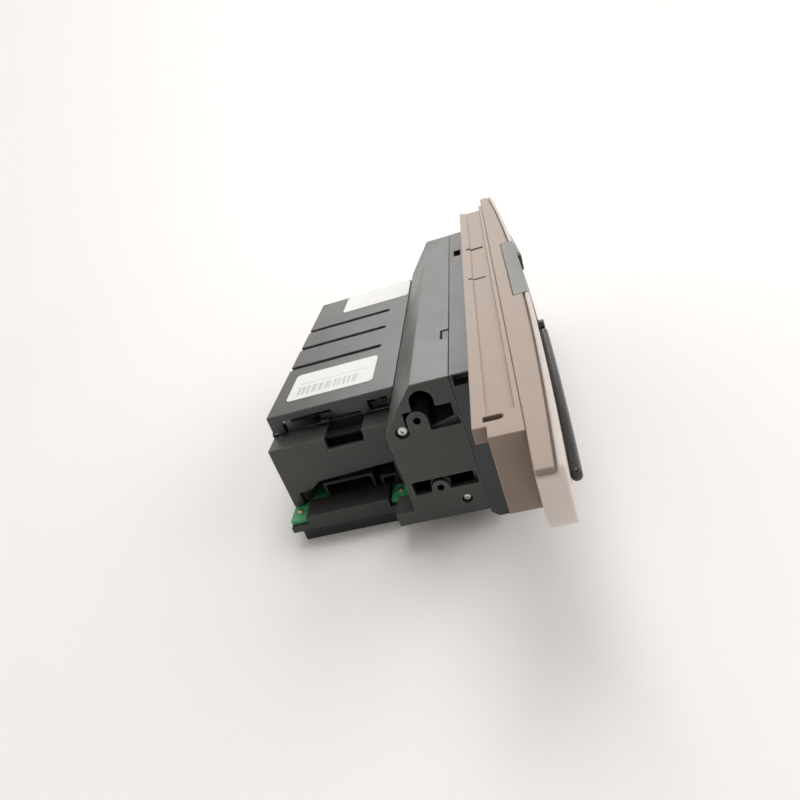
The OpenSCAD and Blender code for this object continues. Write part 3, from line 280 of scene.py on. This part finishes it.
def buildSettledDust():
    # pale dust that lies on upward faces and in slight drifts
    tree, start, end = newGroup("settledDust", [("Drift", 60.0), ("Cover", 0.5)],
                                [("Mask", "NodeSocketFloat")])
    place = objectPlace(tree)
    normal = addNode(tree, "ShaderNodeNewGeometry").outputs["Normal"]
    up = addNode(tree, "ShaderNodeSeparateXYZ", Vector=normal).outputs["Z"]
    facing = fadeNode(tree, up, "dustFacing")
    drift = addNode(tree, "ShaderNodeTexNoise", Vector=place, Scale=start.outputs["Drift"],
                    Detail=6.0, Roughness=0.7)
    cloud = fadeNode(tree, drift.outputs["Fac"], "dustCloud")
    specks = addNode(tree, "ShaderNodeTexNoise", Vector=place, Scale=3400.0, Detail=2.0)
    speck = fadeNode(tree, specks.outputs["Fac"], "dustSpeck")
    mask = mathNode(tree, "MULTIPLY", mathNode(tree, "MULTIPLY", facing, cloud), speck)
    tree.links.new(mathNode(tree, "MULTIPLY", mask, start.outputs["Cover"]), end.inputs["Mask"])
    return tree


def buildTurningLines():
    # fine lines left around a turned or ground metal part that runs along Y
    tree, start, end = newGroup("turningLines", [("Lines", 5200.0)], [("Height", "NodeSocketFloat")])
    split = addNode(tree, "ShaderNodeSeparateXYZ", Vector=objectPlace(tree))
    along = mathNode(tree, "MULTIPLY", split.outputs["Y"], start.outputs["Lines"])
    noise = addNode(tree, "ShaderNodeTexNoise", {"noise_dimensions": "1D"}, W=along, Scale=1.0,
                    Detail=3.0)
    tree.links.new(noise.outputs["Fac"], end.inputs["Height"])
    return tree


def buildRecessShade():
    # a mask that is 1 deep inside slots and hollows, where painted shade goes
    tree, start, end = newGroup("recessShade", [("Reach", 0.007), ("From", 0.25), ("To", 0.8)],
                                [("Mask", "NodeSocketFloat")])
    near = addNode(tree, "ShaderNodeAmbientOcclusion", {"samples": 6},
                   Distance=start.outputs["Reach"])
    mask = rangeNode(tree, near.outputs["AO"], start.outputs["From"], start.outputs["To"], 1.0, 0.0)
    tree.links.new(mask, end.inputs["Mask"])
    return tree


def buildEndFaceShade():
    # a mask that is 1 in patches on faces that look along the object's length, for painted shade on the
    # end faces
    tree, start, end = newGroup("endFaceShade", [("Spread", 70.0)], [("Mask", "NodeSocketFloat")])
    normal = addNode(tree, "ShaderNodeNewGeometry").outputs["Normal"]
    split = addNode(tree, "ShaderNodeSeparateXYZ", Vector=normal)
    along = mathNode(tree, "ABSOLUTE", split.outputs["Y"])
    noise = addNode(tree, "ShaderNodeTexNoise", Vector=objectPlace(tree),
                    Scale=start.outputs["Spread"], Detail=4.0, Roughness=0.6)
    patch = fadeNode(tree, noise.outputs["Fac"], "endPatch")
    mask = mathNode(tree, "MULTIPLY", fadeNode(tree, along, "endFacing"), patch)
    tree.links.new(mask, end.inputs["Mask"])
    return tree


mouldGrain = buildMouldGrain()
recessShade = buildRecessShade()
endFaceShade = buildEndFaceShade()
edgeWearAndHighlight = buildEdgeWearAndHighlight()
settledDust = buildSettledDust()
turningLines = buildTurningLines()
print("shader groups ready")


# materials
def newMaterial(name):
    mat = bpy.data.materials.new(name)
    mat.use_nodes = True
    return mat, mat.node_tree, mat.node_tree.nodes["Principled BSDF"]


def useGroup(tree, group, **sockets):
    node = tree.nodes.new("ShaderNodeGroup")
    node.node_tree = group
    for key, value in sockets.items():
        node.inputs[key].default_value = value
    return node


def addBump(tree, shader, height, strength, distance):
    bump = addNode(tree, "ShaderNodeBump", Strength=strength, Distance=distance, Height=height)
    tree.links.new(bump.outputs["Normal"], shader.inputs["Normal"])


# what goes on a plastic: dust colour, and the shares of the base left under painted shade on end faces
# and under painted shade in recesses
dirtAndShade = {"dust": (0.55, 0.54, 0.51, 1), "endShadeTone": (0.40, 0.37, 0.32), "recessShadeTone": 0.12}
grainDepth = 0.00006
lineDepth = 0.00003


def mouldedPlastic(name, base, dark, wornLitColour, grain=2600.0, bump=0.35, rough=(0.5, 0.62), dust=0.0,
                   wornLitShare=0.5, specular=0.4, recess=0.0, endShadeShare=0.0, reach=0.007):
    mat, tree, shader = newMaterial(name)
    texture = useGroup(tree, mouldGrain, Grain=grain)
    shade = fadeNode(tree, texture.outputs["Shade"], "blotch")
    colour = mixNode(tree, shade, dark, base)
    # lighter colour along edges: partly edge wear, partly a painted highlight on the edges
    edges = useGroup(tree, edgeWearAndHighlight)
    wornLitMask = mathNode(tree, "MULTIPLY", edges.outputs["Mask"], wornLitShare)
    colour = mixNode(tree, wornLitMask, colour, wornLitColour)
    if dust:
        layer = useGroup(tree, settledDust, Cover=dust)
        colour = mixNode(tree, layer.outputs["Mask"], colour, dirtAndShade["dust"])
    # painted shade: faces looking along the length darkened towards a browner copy of the base
    if endShadeShare:
        ends = useGroup(tree, endFaceShade)
        endShadeTone = tuple(c * k for c, k in zip(base[:3], dirtAndShade["endShadeTone"])) + (1,)
        endShadedMask = mathNode(tree, "MULTIPLY", ends.outputs["Mask"], endShadeShare)
        colour = mixNode(tree, endShadedMask, colour, endShadeTone)
    # painted shade: slots and hollows darkened towards a near-black copy of the base colour
    if recess:
        deep = useGroup(tree, recessShade, Reach=reach)
        recessShadeTone = tuple(c * dirtAndShade["recessShadeTone"] for c in base[:3]) + (1,)
        recessShaded = mathNode(tree, "MULTIPLY", deep.outputs["Mask"], recess)
        colour = mixNode(tree, recessShaded, colour, recessShadeTone)
    tree.links.new(colour, shader.inputs["Base Color"])
    tree.links.new(rangeNode(tree, texture.outputs["Shade"], *fades["blotch"], *rough),
                   shader.inputs["Roughness"])
    shader.inputs["Specular IOR Level"].default_value = specular
    addBump(tree, shader, texture.outputs["Height"], bump, grainDepth)
    return mat


def machinedMetal(name, base, dark, rough=(0.22, 0.38), bump=0.25):
    mat, tree, shader = newMaterial(name)
    texture = useGroup(tree, mouldGrain, Grain=900.0, Blotch=120.0)
    turned = useGroup(tree, turningLines)
    shade = fadeNode(tree, texture.outputs["Shade"], "fineBlotch")
    tree.links.new(mixNode(tree, shade, dark, base), shader.inputs["Base Color"])
    tree.links.new(rangeNode(tree, texture.outputs["Shade"], *fades["blotch"], *rough),
                   shader.inputs["Roughness"])
    shader.inputs["Metallic"].default_value = 1.0
    addBump(tree, shader, turned.outputs["Height"], bump, lineDepth)
    return mat


clearLook = {
    "deepShare": 0.8,
    "roughSpread": 0.1,
    "coatRoughness": 0.08,
    "ripple": 0.08,
    "rippleDepth": 0.0002,
}


def clearPlastic(name, base, rough, coat=0.6):
    mat, tree, shader = newMaterial(name)
    texture = useGroup(tree, mouldGrain, Grain=700.0, Blotch=60.0)
    shade = fadeNode(tree, texture.outputs["Shade"], "blotch")
    deep = tuple(c * clearLook["deepShare"] for c in base[:3]) + (1,)
    tree.links.new(mixNode(tree, shade, deep, base), shader.inputs["Base Color"])
    roughest = rough + clearLook["roughSpread"]
    gloss = rangeNode(tree, texture.outputs["Shade"], *fades["fineBlotch"], rough, roughest)
    tree.links.new(gloss, shader.inputs["Roughness"])
    shader.inputs["Coat Weight"].default_value = coat
    shader.inputs["Coat Roughness"].default_value = clearLook["coatRoughness"]
    addBump(tree, shader, texture.outputs["Shade"], clearLook["ripple"], clearLook["rippleDepth"])
    return mat


boardLook = {
    "cells": 260.0,
    "trackShow": 0.45,
    "trackGain": 1.5,
    "trackLift": 0.02,
    "trackBump": 0.3,
    "trackDepth": 0.00004,
    "recessShadeTone": (0.002, 0.008, 0.004, 1),
    "roughness": 0.36,
    "coat": 0.25,
}


def solderMask(name, base, dark):
    # circuit board: green lacquer over a faint net of copper tracks
    mat, tree, shader = newMaterial(name)
    place = objectPlace(tree)
    cells = addNode(tree, "ShaderNodeTexVoronoi", {"feature": "DISTANCE_TO_EDGE",
                    "distance": "EUCLIDEAN"}, Vector=place, Scale=boardLook["cells"])
    tracks = fadeNode(tree, cells.outputs["Distance"], "trackEdge")
    texture = useGroup(tree, mouldGrain, Grain=1500.0, Blotch=70.0)
    shade = fadeNode(tree, texture.outputs["Shade"], "blotch")
    colour = mixNode(tree, shade, dark, base)
    gain, lift = boardLook["trackGain"], boardLook["trackLift"]
    light = tuple(min(1.0, c * gain + lift) for c in base[:3]) + (1,)
    shown = mathNode(tree, "MULTIPLY", tracks, boardLook["trackShow"])
    colour = mixNode(tree, shown, colour, light)
    # painted shade: the board darkened to near black where it lies deep inside the housing
    deep = useGroup(tree, recessShade, Reach=0.008, From=0.3, To=0.62)
    colour = mixNode(tree, deep.outputs["Mask"], colour, boardLook["recessShadeTone"])
    tree.links.new(colour, shader.inputs["Base Color"])
    shader.inputs["Roughness"].default_value = boardLook["roughness"]
    shader.inputs["Coat Weight"].default_value = boardLook["coat"]
    addBump(tree, shader, tracks, boardLook["trackBump"], boardLook["trackDepth"])
    return mat


def labelFilm(name):
    return mouldedPlastic(name, (0.83, 0.83, 0.80, 1), (0.77, 0.77, 0.74, 1),
                          (0.70, 0.69, 0.66, 1), grain=1200.0, bump=0.05, rough=(0.3, 0.4))


palette = {
    "housing_plastic": mouldedPlastic("housingPlastic", (0.036, 0.038, 0.034, 1),
                                      (0.024, 0.026, 0.023, 1), (0.17, 0.17, 0.16, 1),
                                      bump=0.12, rough=(0.29, 0.40), dust=0.10, wornLitShare=0.7,
                                      specular=0.55, recess=0.95),
    "cover_plastic": mouldedPlastic("coverPlastic", (0.038, 0.039, 0.036, 1),
                                    (0.026, 0.027, 0.024, 1), (0.24, 0.24, 0.23, 1),
                                    bump=0.08, rough=(0.27, 0.36), dust=0.06, wornLitShare=0.7,
                                    specular=0.55, recess=0.95, reach=0.005),
    "frame_plastic": mouldedPlastic("framePlastic", (0.030, 0.034, 0.039, 1),
                                    (0.022, 0.025, 0.029, 1), (0.11, 0.12, 0.13, 1),
                                    rough=(0.32, 0.42), dust=0.10, specular=0.5, recess=0.8),
    "bezel_tan": mouldedPlastic("bezelTan", (0.385, 0.300, 0.243, 1), (0.345, 0.267, 0.214, 1),
                                (0.50, 0.41, 0.345, 1), grain=3200.0, bump=0.2,
                                rough=(0.42, 0.5), recess=0.6, endShadeShare=0.8, reach=0.0025),
    "bezel_light": mouldedPlastic("bezelLight", (0.600, 0.535, 0.490, 1), (0.555, 0.490, 0.445, 1),
                                  (0.70, 0.65, 0.61, 1), grain=3200.0, bump=0.14,
                                  rough=(0.34, 0.42)),
    "gloss_black": mouldedPlastic("glossBlack", (0.016, 0.016, 0.017, 1), (0.010, 0.010, 0.011, 1),
                                  (0.10, 0.10, 0.10, 1), bump=0.04, rough=(0.12, 0.2),
                                  specular=0.6),
    "smoked_window": clearPlastic("smokedWindow", (0.105, 0.112, 0.088, 1), 0.16,
                                  coat=0.2),
    "guide_black": mouldedPlastic("guideBlack", (0.034, 0.034, 0.036, 1), (0.024, 0.024, 0.026, 1),
                                  (0.12, 0.12, 0.12, 1), bump=0.15, rough=(0.38, 0.5), recess=0.9),
    "board_green": solderMask("boardGreen", (0.060, 0.360, 0.150, 1), (0.034, 0.250, 0.095, 1)),
    "connector_black": mouldedPlastic("connectorBlack", (0.026, 0.026, 0.028, 1),
                                      (0.018, 0.018, 0.020, 1), (0.1, 0.1, 0.1, 1), bump=0.2,
                                      recess=0.95, reach=0.012),
    "chip_black": mouldedPlastic("chipBlack", (0.024, 0.024, 0.026, 1), (0.016, 0.016, 0.018, 1),
                                 (0.08, 0.08, 0.08, 1), grain=4200.0, bump=0.3),
    "lens_red": clearPlastic("lensRed", (0.300, 0.030, 0.024, 1), 0.14),
    "motor_steel": machinedMetal("motorSteel", (0.60, 0.61, 0.62, 1), (0.50, 0.51, 0.52, 1)),
    "zinc_steel": machinedMetal("zincSteel", (0.72, 0.71, 0.68, 1), (0.58, 0.57, 0.55, 1),
                                rough=(0.26, 0.4), bump=0.1),
    "bright_steel": machinedMetal("brightSteel", (0.75, 0.76, 0.77, 1), (0.66, 0.67, 0.68, 1),
                                  rough=(0.16, 0.28)),
    "bronze": machinedMetal("sinteredBronze", (0.55, 0.37, 0.19, 1), (0.44, 0.29, 0.14, 1),
                            rough=(0.4, 0.55)),
    "rubber_black": mouldedPlastic("rubberBlack", (0.022, 0.022, 0.022, 1),
                                   (0.014, 0.014, 0.014, 1), (0.06, 0.06, 0.06, 1), grain=1800.0,
                                   bump=0.45, rough=(0.7, 0.85), specular=0.25),
    "acetal": mouldedPlastic("naturalAcetal", (0.74, 0.72, 0.65, 1), (0.68, 0.66, 0.59, 1),
                             (0.80, 0.78, 0.72, 1), bump=0.08, rough=(0.32, 0.42)),
    "brass": machinedMetal("machinedBrass", (0.83, 0.55, 0.27, 1), (0.70, 0.43, 0.20, 1)),
    "label_white": labelFilm("labelFilm"),
}


def nodeBox(nodeName):
    low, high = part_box(nodeName)
    return Vector(low), Vector(high)


# generic printing on the near label: a band of plain bars and a rule, with no lettering
labelPrint = {
    "margin": 3.2,
    "bandLow": 3.0,
    "bandHigh": 9.0,
    "ruleLow": 11.4,
    "ruleHigh": 11.8,
    "bars": 1100.0,
    "barShare": 0.5,
    "ink": (0.30, 0.30, 0.30, 1),
    "inkStrength": 0.6,
}


def printedLabel(nodeName):
    low, high = nodeBox(nodeName)
    mat = labelFilm("printedLabel")
    tree = mat.node_tree
    shader = tree.nodes["Principled BSDF"]
    paper = shader.inputs["Base Color"].links[0].from_socket
    split = addNode(tree, "ShaderNodeSeparateXYZ", Vector=objectPlace(tree))

    def between(axis, start, end):
        above = mathNode(tree, "GREATER_THAN", split.outputs[axis], start)
        below = mathNode(tree, "LESS_THAN", split.outputs[axis], end)
        return mathNode(tree, "MULTIPLY", above, below)

    def bandOf(right, bottom, top):
        across = between("X", low.x + margin, right)
        upward = between("Y", low.y + labelPrint[bottom] * mm, low.y + labelPrint[top] * mm)
        return mathNode(tree, "MULTIPLY", across, upward)

    margin = labelPrint["margin"] * mm
    band = bandOf(high.x - 2 * margin, "bandLow", "bandHigh")
    along = mathNode(tree, "MULTIPLY", split.outputs["X"], labelPrint["bars"])
    noise = addNode(tree, "ShaderNodeTexNoise", {"noise_dimensions": "1D"}, W=along, Scale=1.0,
                    Detail=1.0)
    stripes = mathNode(tree, "GREATER_THAN", noise.outputs["Fac"], labelPrint["barShare"])
    bars = mathNode(tree, "MULTIPLY", stripes, band)
    rule = bandOf(high.x - margin, "ruleLow", "ruleHigh")
    ink = mathNode(tree, "MULTIPLY", mathNode(tree, "MAXIMUM", bars, rule), labelPrint["inkStrength"])
    tree.links.new(mixNode(tree, ink, paper, labelPrint["ink"]), shader.inputs["Base Color"])
    return mat


# the bottom cover hangs close over whatever it stands on, so its painted shade in recesses reaches
# further and darkens the belly
bellyShadePlastic = mouldedPlastic("bellyShadePlastic", (0.034, 0.036, 0.032, 1), (0.022, 0.024, 0.021, 1),
                              (0.11, 0.11, 0.10, 1), rough=(0.36, 0.48), recess=0.95, reach=0.03)

slotOf = {row["node"]: row["material_slot"] for row in frame["record"]["subparts"]}
for nodeName, obj in frame["nodes"].items():
    obj.data.materials.clear()
    obj.data.materials.append(palette[slotOf[nodeName]])
frame["nodes"]["bottom_cover"].data.materials[0] = bellyShadePlastic
frame["nodes"]["near_label"].data.materials[0] = printedLabel("near_label")
print("materials ready on", len(slotOf), "nodes")


# broken edges on the CAD pieces: radius in millimetres, and steps of the rounding
edgeRounds = {
    "front_housing": (0.24, 2), "mounting_frame": (0.30, 2), "bezel_flange": (0.26, 2),
    "bezel_trim": (0.5, 4), "front_cover": (0.75, 5), "near_lip": (1.25, 5), "far_lip": (1.25, 5),
    "status_window": (0.3, 3), "lower_housing": (0.40, 3), "bottom_cover": (0.35, 2),
    "upper_cover": (0.35, 3), "main_board": (0.08, 1), "cover_latch": (0.25, 2),
    "board_connectors": (0.1, 1), "front_pulley": (0.12, 2), "rear_pulley": (0.12, 2),
    "front_pinch_rollers": (0.25, 3), "rear_pinch_rollers": (0.25, 3),
    "front_drive_shaft": (0.3, 2), "rear_drive_shaft": (0.3, 2), "front_pinch_axle": (0.15, 2),
    "rear_pinch_axle": (0.15, 2), "drive_belt": (0.12, 2), "motor": (0.4, 3),
    "drive_gear": (0.05, 1), "idler_gear": (0.05, 1), "motor_pinion": (0.04, 1),
    "mouth_throat": (0.3, 3), "lower_guide_plate": (0.15, 2), "upper_guide_plate": (0.1, 1),
    "board_chips": (0.15, 2), "encoder_sensor": (0.2, 2), "shaft_bushes": (0.1, 1),
}

# small roundings are welded finely, so that fine features keep their corners
edgeLimits = {"angle": 28, "coarseFrom": 0.2, "coarseWeld": 3e-5, "fineWeld": 2e-6, "weight": 100}


def breakEdges(obj, radius, steps):
    weld = obj.modifiers.new("weld", "WELD")
    coarse = radius >= edgeLimits["coarseFrom"]
    weld.merge_threshold = edgeLimits["coarseWeld"] if coarse else edgeLimits["fineWeld"]
    bevel = obj.modifiers.new("edges", "BEVEL")
    bevel.width = radius * mm
    bevel.segments = steps
    bevel.limit_method = "ANGLE"
    bevel.angle_limit = math.radians(edgeLimits["angle"])
    bevel.use_clamp_overlap = False
    bevel.loop_slide = False
    normals = obj.modifiers.new("normals", "WEIGHTED_NORMAL")
    normals.keep_sharp = True
    normals.weight = edgeLimits["weight"]


for nodeName, (radius, steps) in edgeRounds.items():
    breakEdges(frame["nodes"][nodeName], radius, steps)
print("edges broken on", len(edgeRounds), "pieces")


# pieces modelled here
sharpAngle = 32


def finishPiece(bm, name, body, slot, *nodes):
    bmesh.ops.remove_doubles(bm, verts=bm.verts, dist=mergeGap)
    bmesh.ops.recalc_face_normals(bm, faces=bm.faces)
    mesh = bpy.data.meshes.new(name)
    bm.to_mesh(mesh)
    bm.free()
    mesh.shade_smooth()
    mesh.set_sharp_from_angle(angle=math.radians(sharpAngle))
    mesh.materials.append(palette[slot])
    obj = bpy.data.objects.new(name, mesh)
    bpy.context.collection.objects.link(obj)
    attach(obj, body)
    if nodes:
        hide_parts(*nodes)


def addTurned(bm, profile, foot, axis, steps=48, closed=False):
    # profile holds (radius, distance along the axis) pairs in millimetres, from the foot
    side = axis.orthogonal().normalized()
    verts = [bm.verts.new(foot + side * r * mm + axis * a * mm) for r, a in profile]
    pairs = list(zip(verts, verts[1:])) + ([(verts[-1], verts[0])] if closed else [])
    edges = [bm.edges.new(pair) for pair in pairs]
    bmesh.ops.spin(bm, geom=verts + edges, cent=foot, axis=axis, angle=math.tau, steps=steps,
                   use_merge=True, use_duplicate=False)
    bmesh.ops.remove_doubles(bm, verts=bm.verts, dist=seamGap)


# what every cross-recess screw shares: millimetres, degrees, and shares of its head or shank
crossScrew = {
    "segments": 32, "domeRings": 7, "domeStep": 9, "domeFoot": 0.45, "domeRise": 0.5,
    "rimHeight": 0.1, "underside": 0.97, "neck": 0.5, "pitch": 0.7, "root": 0.8, "threadStart": 1.0,
    "plainLength": 1.6, "pointWidth": 0.5, "pointRise": 0.2, "pointLength": 0.8, "recessRim": 0.12,
    "armLength": 0.72, "armHalf": 0.17, "recessDepth": 0.6, "recessDraft": 0.35,
}


def screwProfile(head, height, shank, length):
    size = crossScrew
    pitch, root = size["pitch"], shank * size["root"]
    turns = [math.radians(size["domeStep"] * i) for i in range(size["domeRings"])]
    dome = [(head * math.cos(t), height * (size["domeFoot"] + size["domeRise"] * math.sin(t)))
            for t in turns]
    profile = [(0, -length), (shank * size["pointWidth"], -length + size["pointRise"]),
               (shank, -length + size["pointLength"])]
    for i in range(int((length - size["plainLength"]) / pitch)):
        at = -length + size["threadStart"] + pitch * i
        profile += [(shank, at), (root, at + pitch / 2)]
    profile += [(shank, -size["neck"]), (shank, 0), (head * size["underside"], 0),
                (head, height * size["rimHeight"])]
    return profile + dome


def addCrossScrew(bm, seat, axis, head, height, shank, length):
    # seat is the middle of the head's underside, and axis points out of the head
    profile = screwProfile(head, height, shank, length)
    topRadius, topHeight = profile[-1]
    start = len(bm.verts)
    addTurned(bm, profile, seat, axis, steps=crossScrew["segments"])
    bm.verts.ensure_lookup_table()
    middle = seat + axis * topHeight * mm
    top = [v for v in bm.verts[start:] if abs((v.co - seat).dot(axis) - topHeight * mm) < levelGap]
    side = axis.orthogonal().normalized()
    up = axis.cross(side)
    top.sort(key=lambda v: math.atan2((v.co - middle).dot(up), (v.co - middle).dot(side)))
    face = bm.faces.new(top)
    rimWidth = topRadius * crossScrew["recessRim"] * mm
    bmesh.ops.inset_individual(bm, faces=[face], thickness=rimWidth)
    arm, half = topRadius * crossScrew["armLength"], topRadius * crossScrew["armHalf"]
    for v in face.verts:  # pull the round face in to a cross
        flat = v.co - middle
        turn = math.atan2(flat.dot(up), flat.dot(side)) % (math.pi / 2)
        turn = min(turn, math.pi / 2 - turn)
        reach = min(arm / math.cos(turn), half / max(math.sin(turn), mergeGap)) * mm
        v.co = middle + flat.normalized() * min(reach, arm * mm)
    deep = bmesh.ops.extrude_discrete_faces(bm, faces=[face])["faces"]
    sunk = {v for f in deep for v in f.verts}
    bmesh.ops.translate(bm, verts=list(sunk), vec=-axis * height * crossScrew["recessDepth"] * mm)
    for v in sunk:
        v.co += (seat + axis * (v.co - seat).dot(axis) - v.co) * crossScrew["recessDraft"]


def addScrews(bm, places, axis, screw):
    for place in places:
        addCrossScrew(bm, place, axis, screw["head"], screw["headHeight"], screw["shank"],
                      screw["length"])


# side screws: two in each end of the front housing, sunk in round recesses
sideScrew = {
    "upperHead": 1.65, "lowerHead": 1.25, "upperInset": 1.7, "lowerInset": 1.3,
    "headHeight": 1.1, "shank": 0.98, "length": 5.0, "sunk": 1.75,
}


def makeSideScrews():
    low, high = nodeBox("side_screws")
    frontLow, frontHigh = nodeBox("front_housing")
    upper, lower = sideScrew["upperInset"] * mm, sideScrew["lowerInset"] * mm
    bm = bmesh.new()
    for face, out in ((frontLow.y, -1), (frontHigh.y, 1)):
        y = face - out * sideScrew["sunk"] * mm
        axis = Vector((0, out, 0))
        addScrews(bm, [Vector((low.x + upper, y, high.z - upper))], axis,
                  sideScrew | {"head": sideScrew["upperHead"]})
        addScrews(bm, [Vector((high.x - lower, y, low.z + lower))], axis,
                  sideScrew | {"head": sideScrew["lowerHead"]})
    finishPiece(bm, "sideScrewSet", "chassis", "zinc_steel", "side_screws")


# frame screws: four pan heads in the front of the mounting frame, each as long as its node
frameScrew = {"head": 2.15, "headHeight": 1.25, "shank": 1.0, "inset": 2.2, "seat": 1.3}


def makeFrameScrews():
    low, high = nodeBox("frame_screws")
    seatX = high.x - frameScrew["seat"] * mm
    inset = frameScrew["inset"] * mm
    places = [Vector((seatX, y, z)) for y in (low.y + inset, high.y - inset)
              for z in (low.z + inset, high.z - inset)]
    bm = bmesh.new()
    addScrews(bm, places, Vector((1, 0, 0)), frameScrew | {"length": (places[0].x - low.x) / mm})
    finishPiece(bm, "frameScrewSet", "chassis", "zinc_steel", "frame_screws")


# bottom screws: four heads at the bottom of the deep bores in the bottom cover
bottomScrew = {"head": 2.05, "headHeight": 1.15, "shank": 0.95, "length": 9.5, "inset": 2.1, "seat": 1.2}


def makeBottomScrews():
    low, high = nodeBox("bottom_screws")
    seatZ = low.z + bottomScrew["seat"] * mm
    inset = bottomScrew["inset"] * mm
    places = [Vector((x, y, seatZ)) for x in (low.x + inset, high.x - inset)
              for y in (low.y + inset, high.y - inset)]
    bm = bmesh.new()
    addScrews(bm, places, Vector((0, 0, -1)), bottomScrew)
    finishPiece(bm, "bottomScrewSet", "chassis", "zinc_steel", "bottom_screws")


# rubber-tyred drive rollers: a tyre with fine grooves and eased shoulders
tyre = {
    "radius": 7.0, "width": 9.0, "bore": 2.0, "shoulder": 0.5, "shoulderEase": 0.3,
    "grooves": 7, "grooveDepth": 0.22, "crest": (0.1, 0.6), "groove": (0.75, 0.95),
}


def makeTyres(nodeName, name, body):
    low, high = nodeBox(nodeName)
    middle = (low + high) / 2
    width, radius, ease = tyre["width"], tyre["radius"], tyre["shoulder"]
    eased = ease * tyre["shoulderEase"]
    profile = [(tyre["bore"], 0), (radius - ease, 0), (radius - eased, eased)]
    pitch = (width - 2 * ease) / tyre["grooves"]
    for i in range(tyre["grooves"]):
        at = ease + pitch * i
        profile += [(radius, at + pitch * share) for share in tyre["crest"]]
        profile += [(radius - tyre["grooveDepth"], at + pitch * share) for share in tyre["groove"]]
    profile += [(radius, width - ease), (radius - eased, width - eased), (radius - ease, width),
                (tyre["bore"], width)]
    bm = bmesh.new()
    for y in (low.y, high.y - width * mm):
        addTurned(bm, profile, Vector((middle.x, y, middle.z)), Vector((0, 1, 0)), closed=True)
    finishPiece(bm, name, body, "rubber_black", nodeName)


# soldered test pads on the board's two tabs
pad = {
    "outer": 1.15, "hole": 0.42, "height": 0.12, "edge": 0.1, "edgeShare": 0.7, "inset": 4.6,
    "across": 2.9, "dome": 0.62, "domeShare": 0.8, "domeFoot": 0.1, "domeSide": 0.32,
    "domeTop": 0.36, "tabWidth": 9.7, "segments": 32,
}


def makePads():
    boardLow, boardHigh = nodeBox("main_board")
    frontWallX = nodeBox("lower_housing")[1].x
    outer, height, dome = pad["outer"], pad["height"], pad["dome"]
    profile = [(pad["hole"], 0), (outer, 0), (outer, height * pad["edgeShare"]),
               (outer - pad["edge"], height), (dome, height + pad["domeFoot"]),
               (dome * pad["domeShare"], height + pad["domeSide"]),
               (pad["hole"], height + pad["domeTop"])]
    bm = bmesh.new()
    for tabX in (boardLow.x, frontWallX - pad["tabWidth"] * mm):
        foot = Vector((tabX + pad["across"] * mm, boardLow.y + pad["inset"] * mm, boardHigh.z))
        addTurned(bm, profile, foot, Vector((0, 0, 1)), steps=pad["segments"], closed=True)
    finishPiece(bm, "boardPads", "chassis", "brass")


makeSideScrews()
makeFrameScrews()
makeBottomScrews()
makeTyres("front_drive_rollers", "frontTyres", "front_drive")
makeTyres("rear_drive_rollers", "rearTyres", "rear_drive")
makePads()
print("screws, tyres and pads ready")
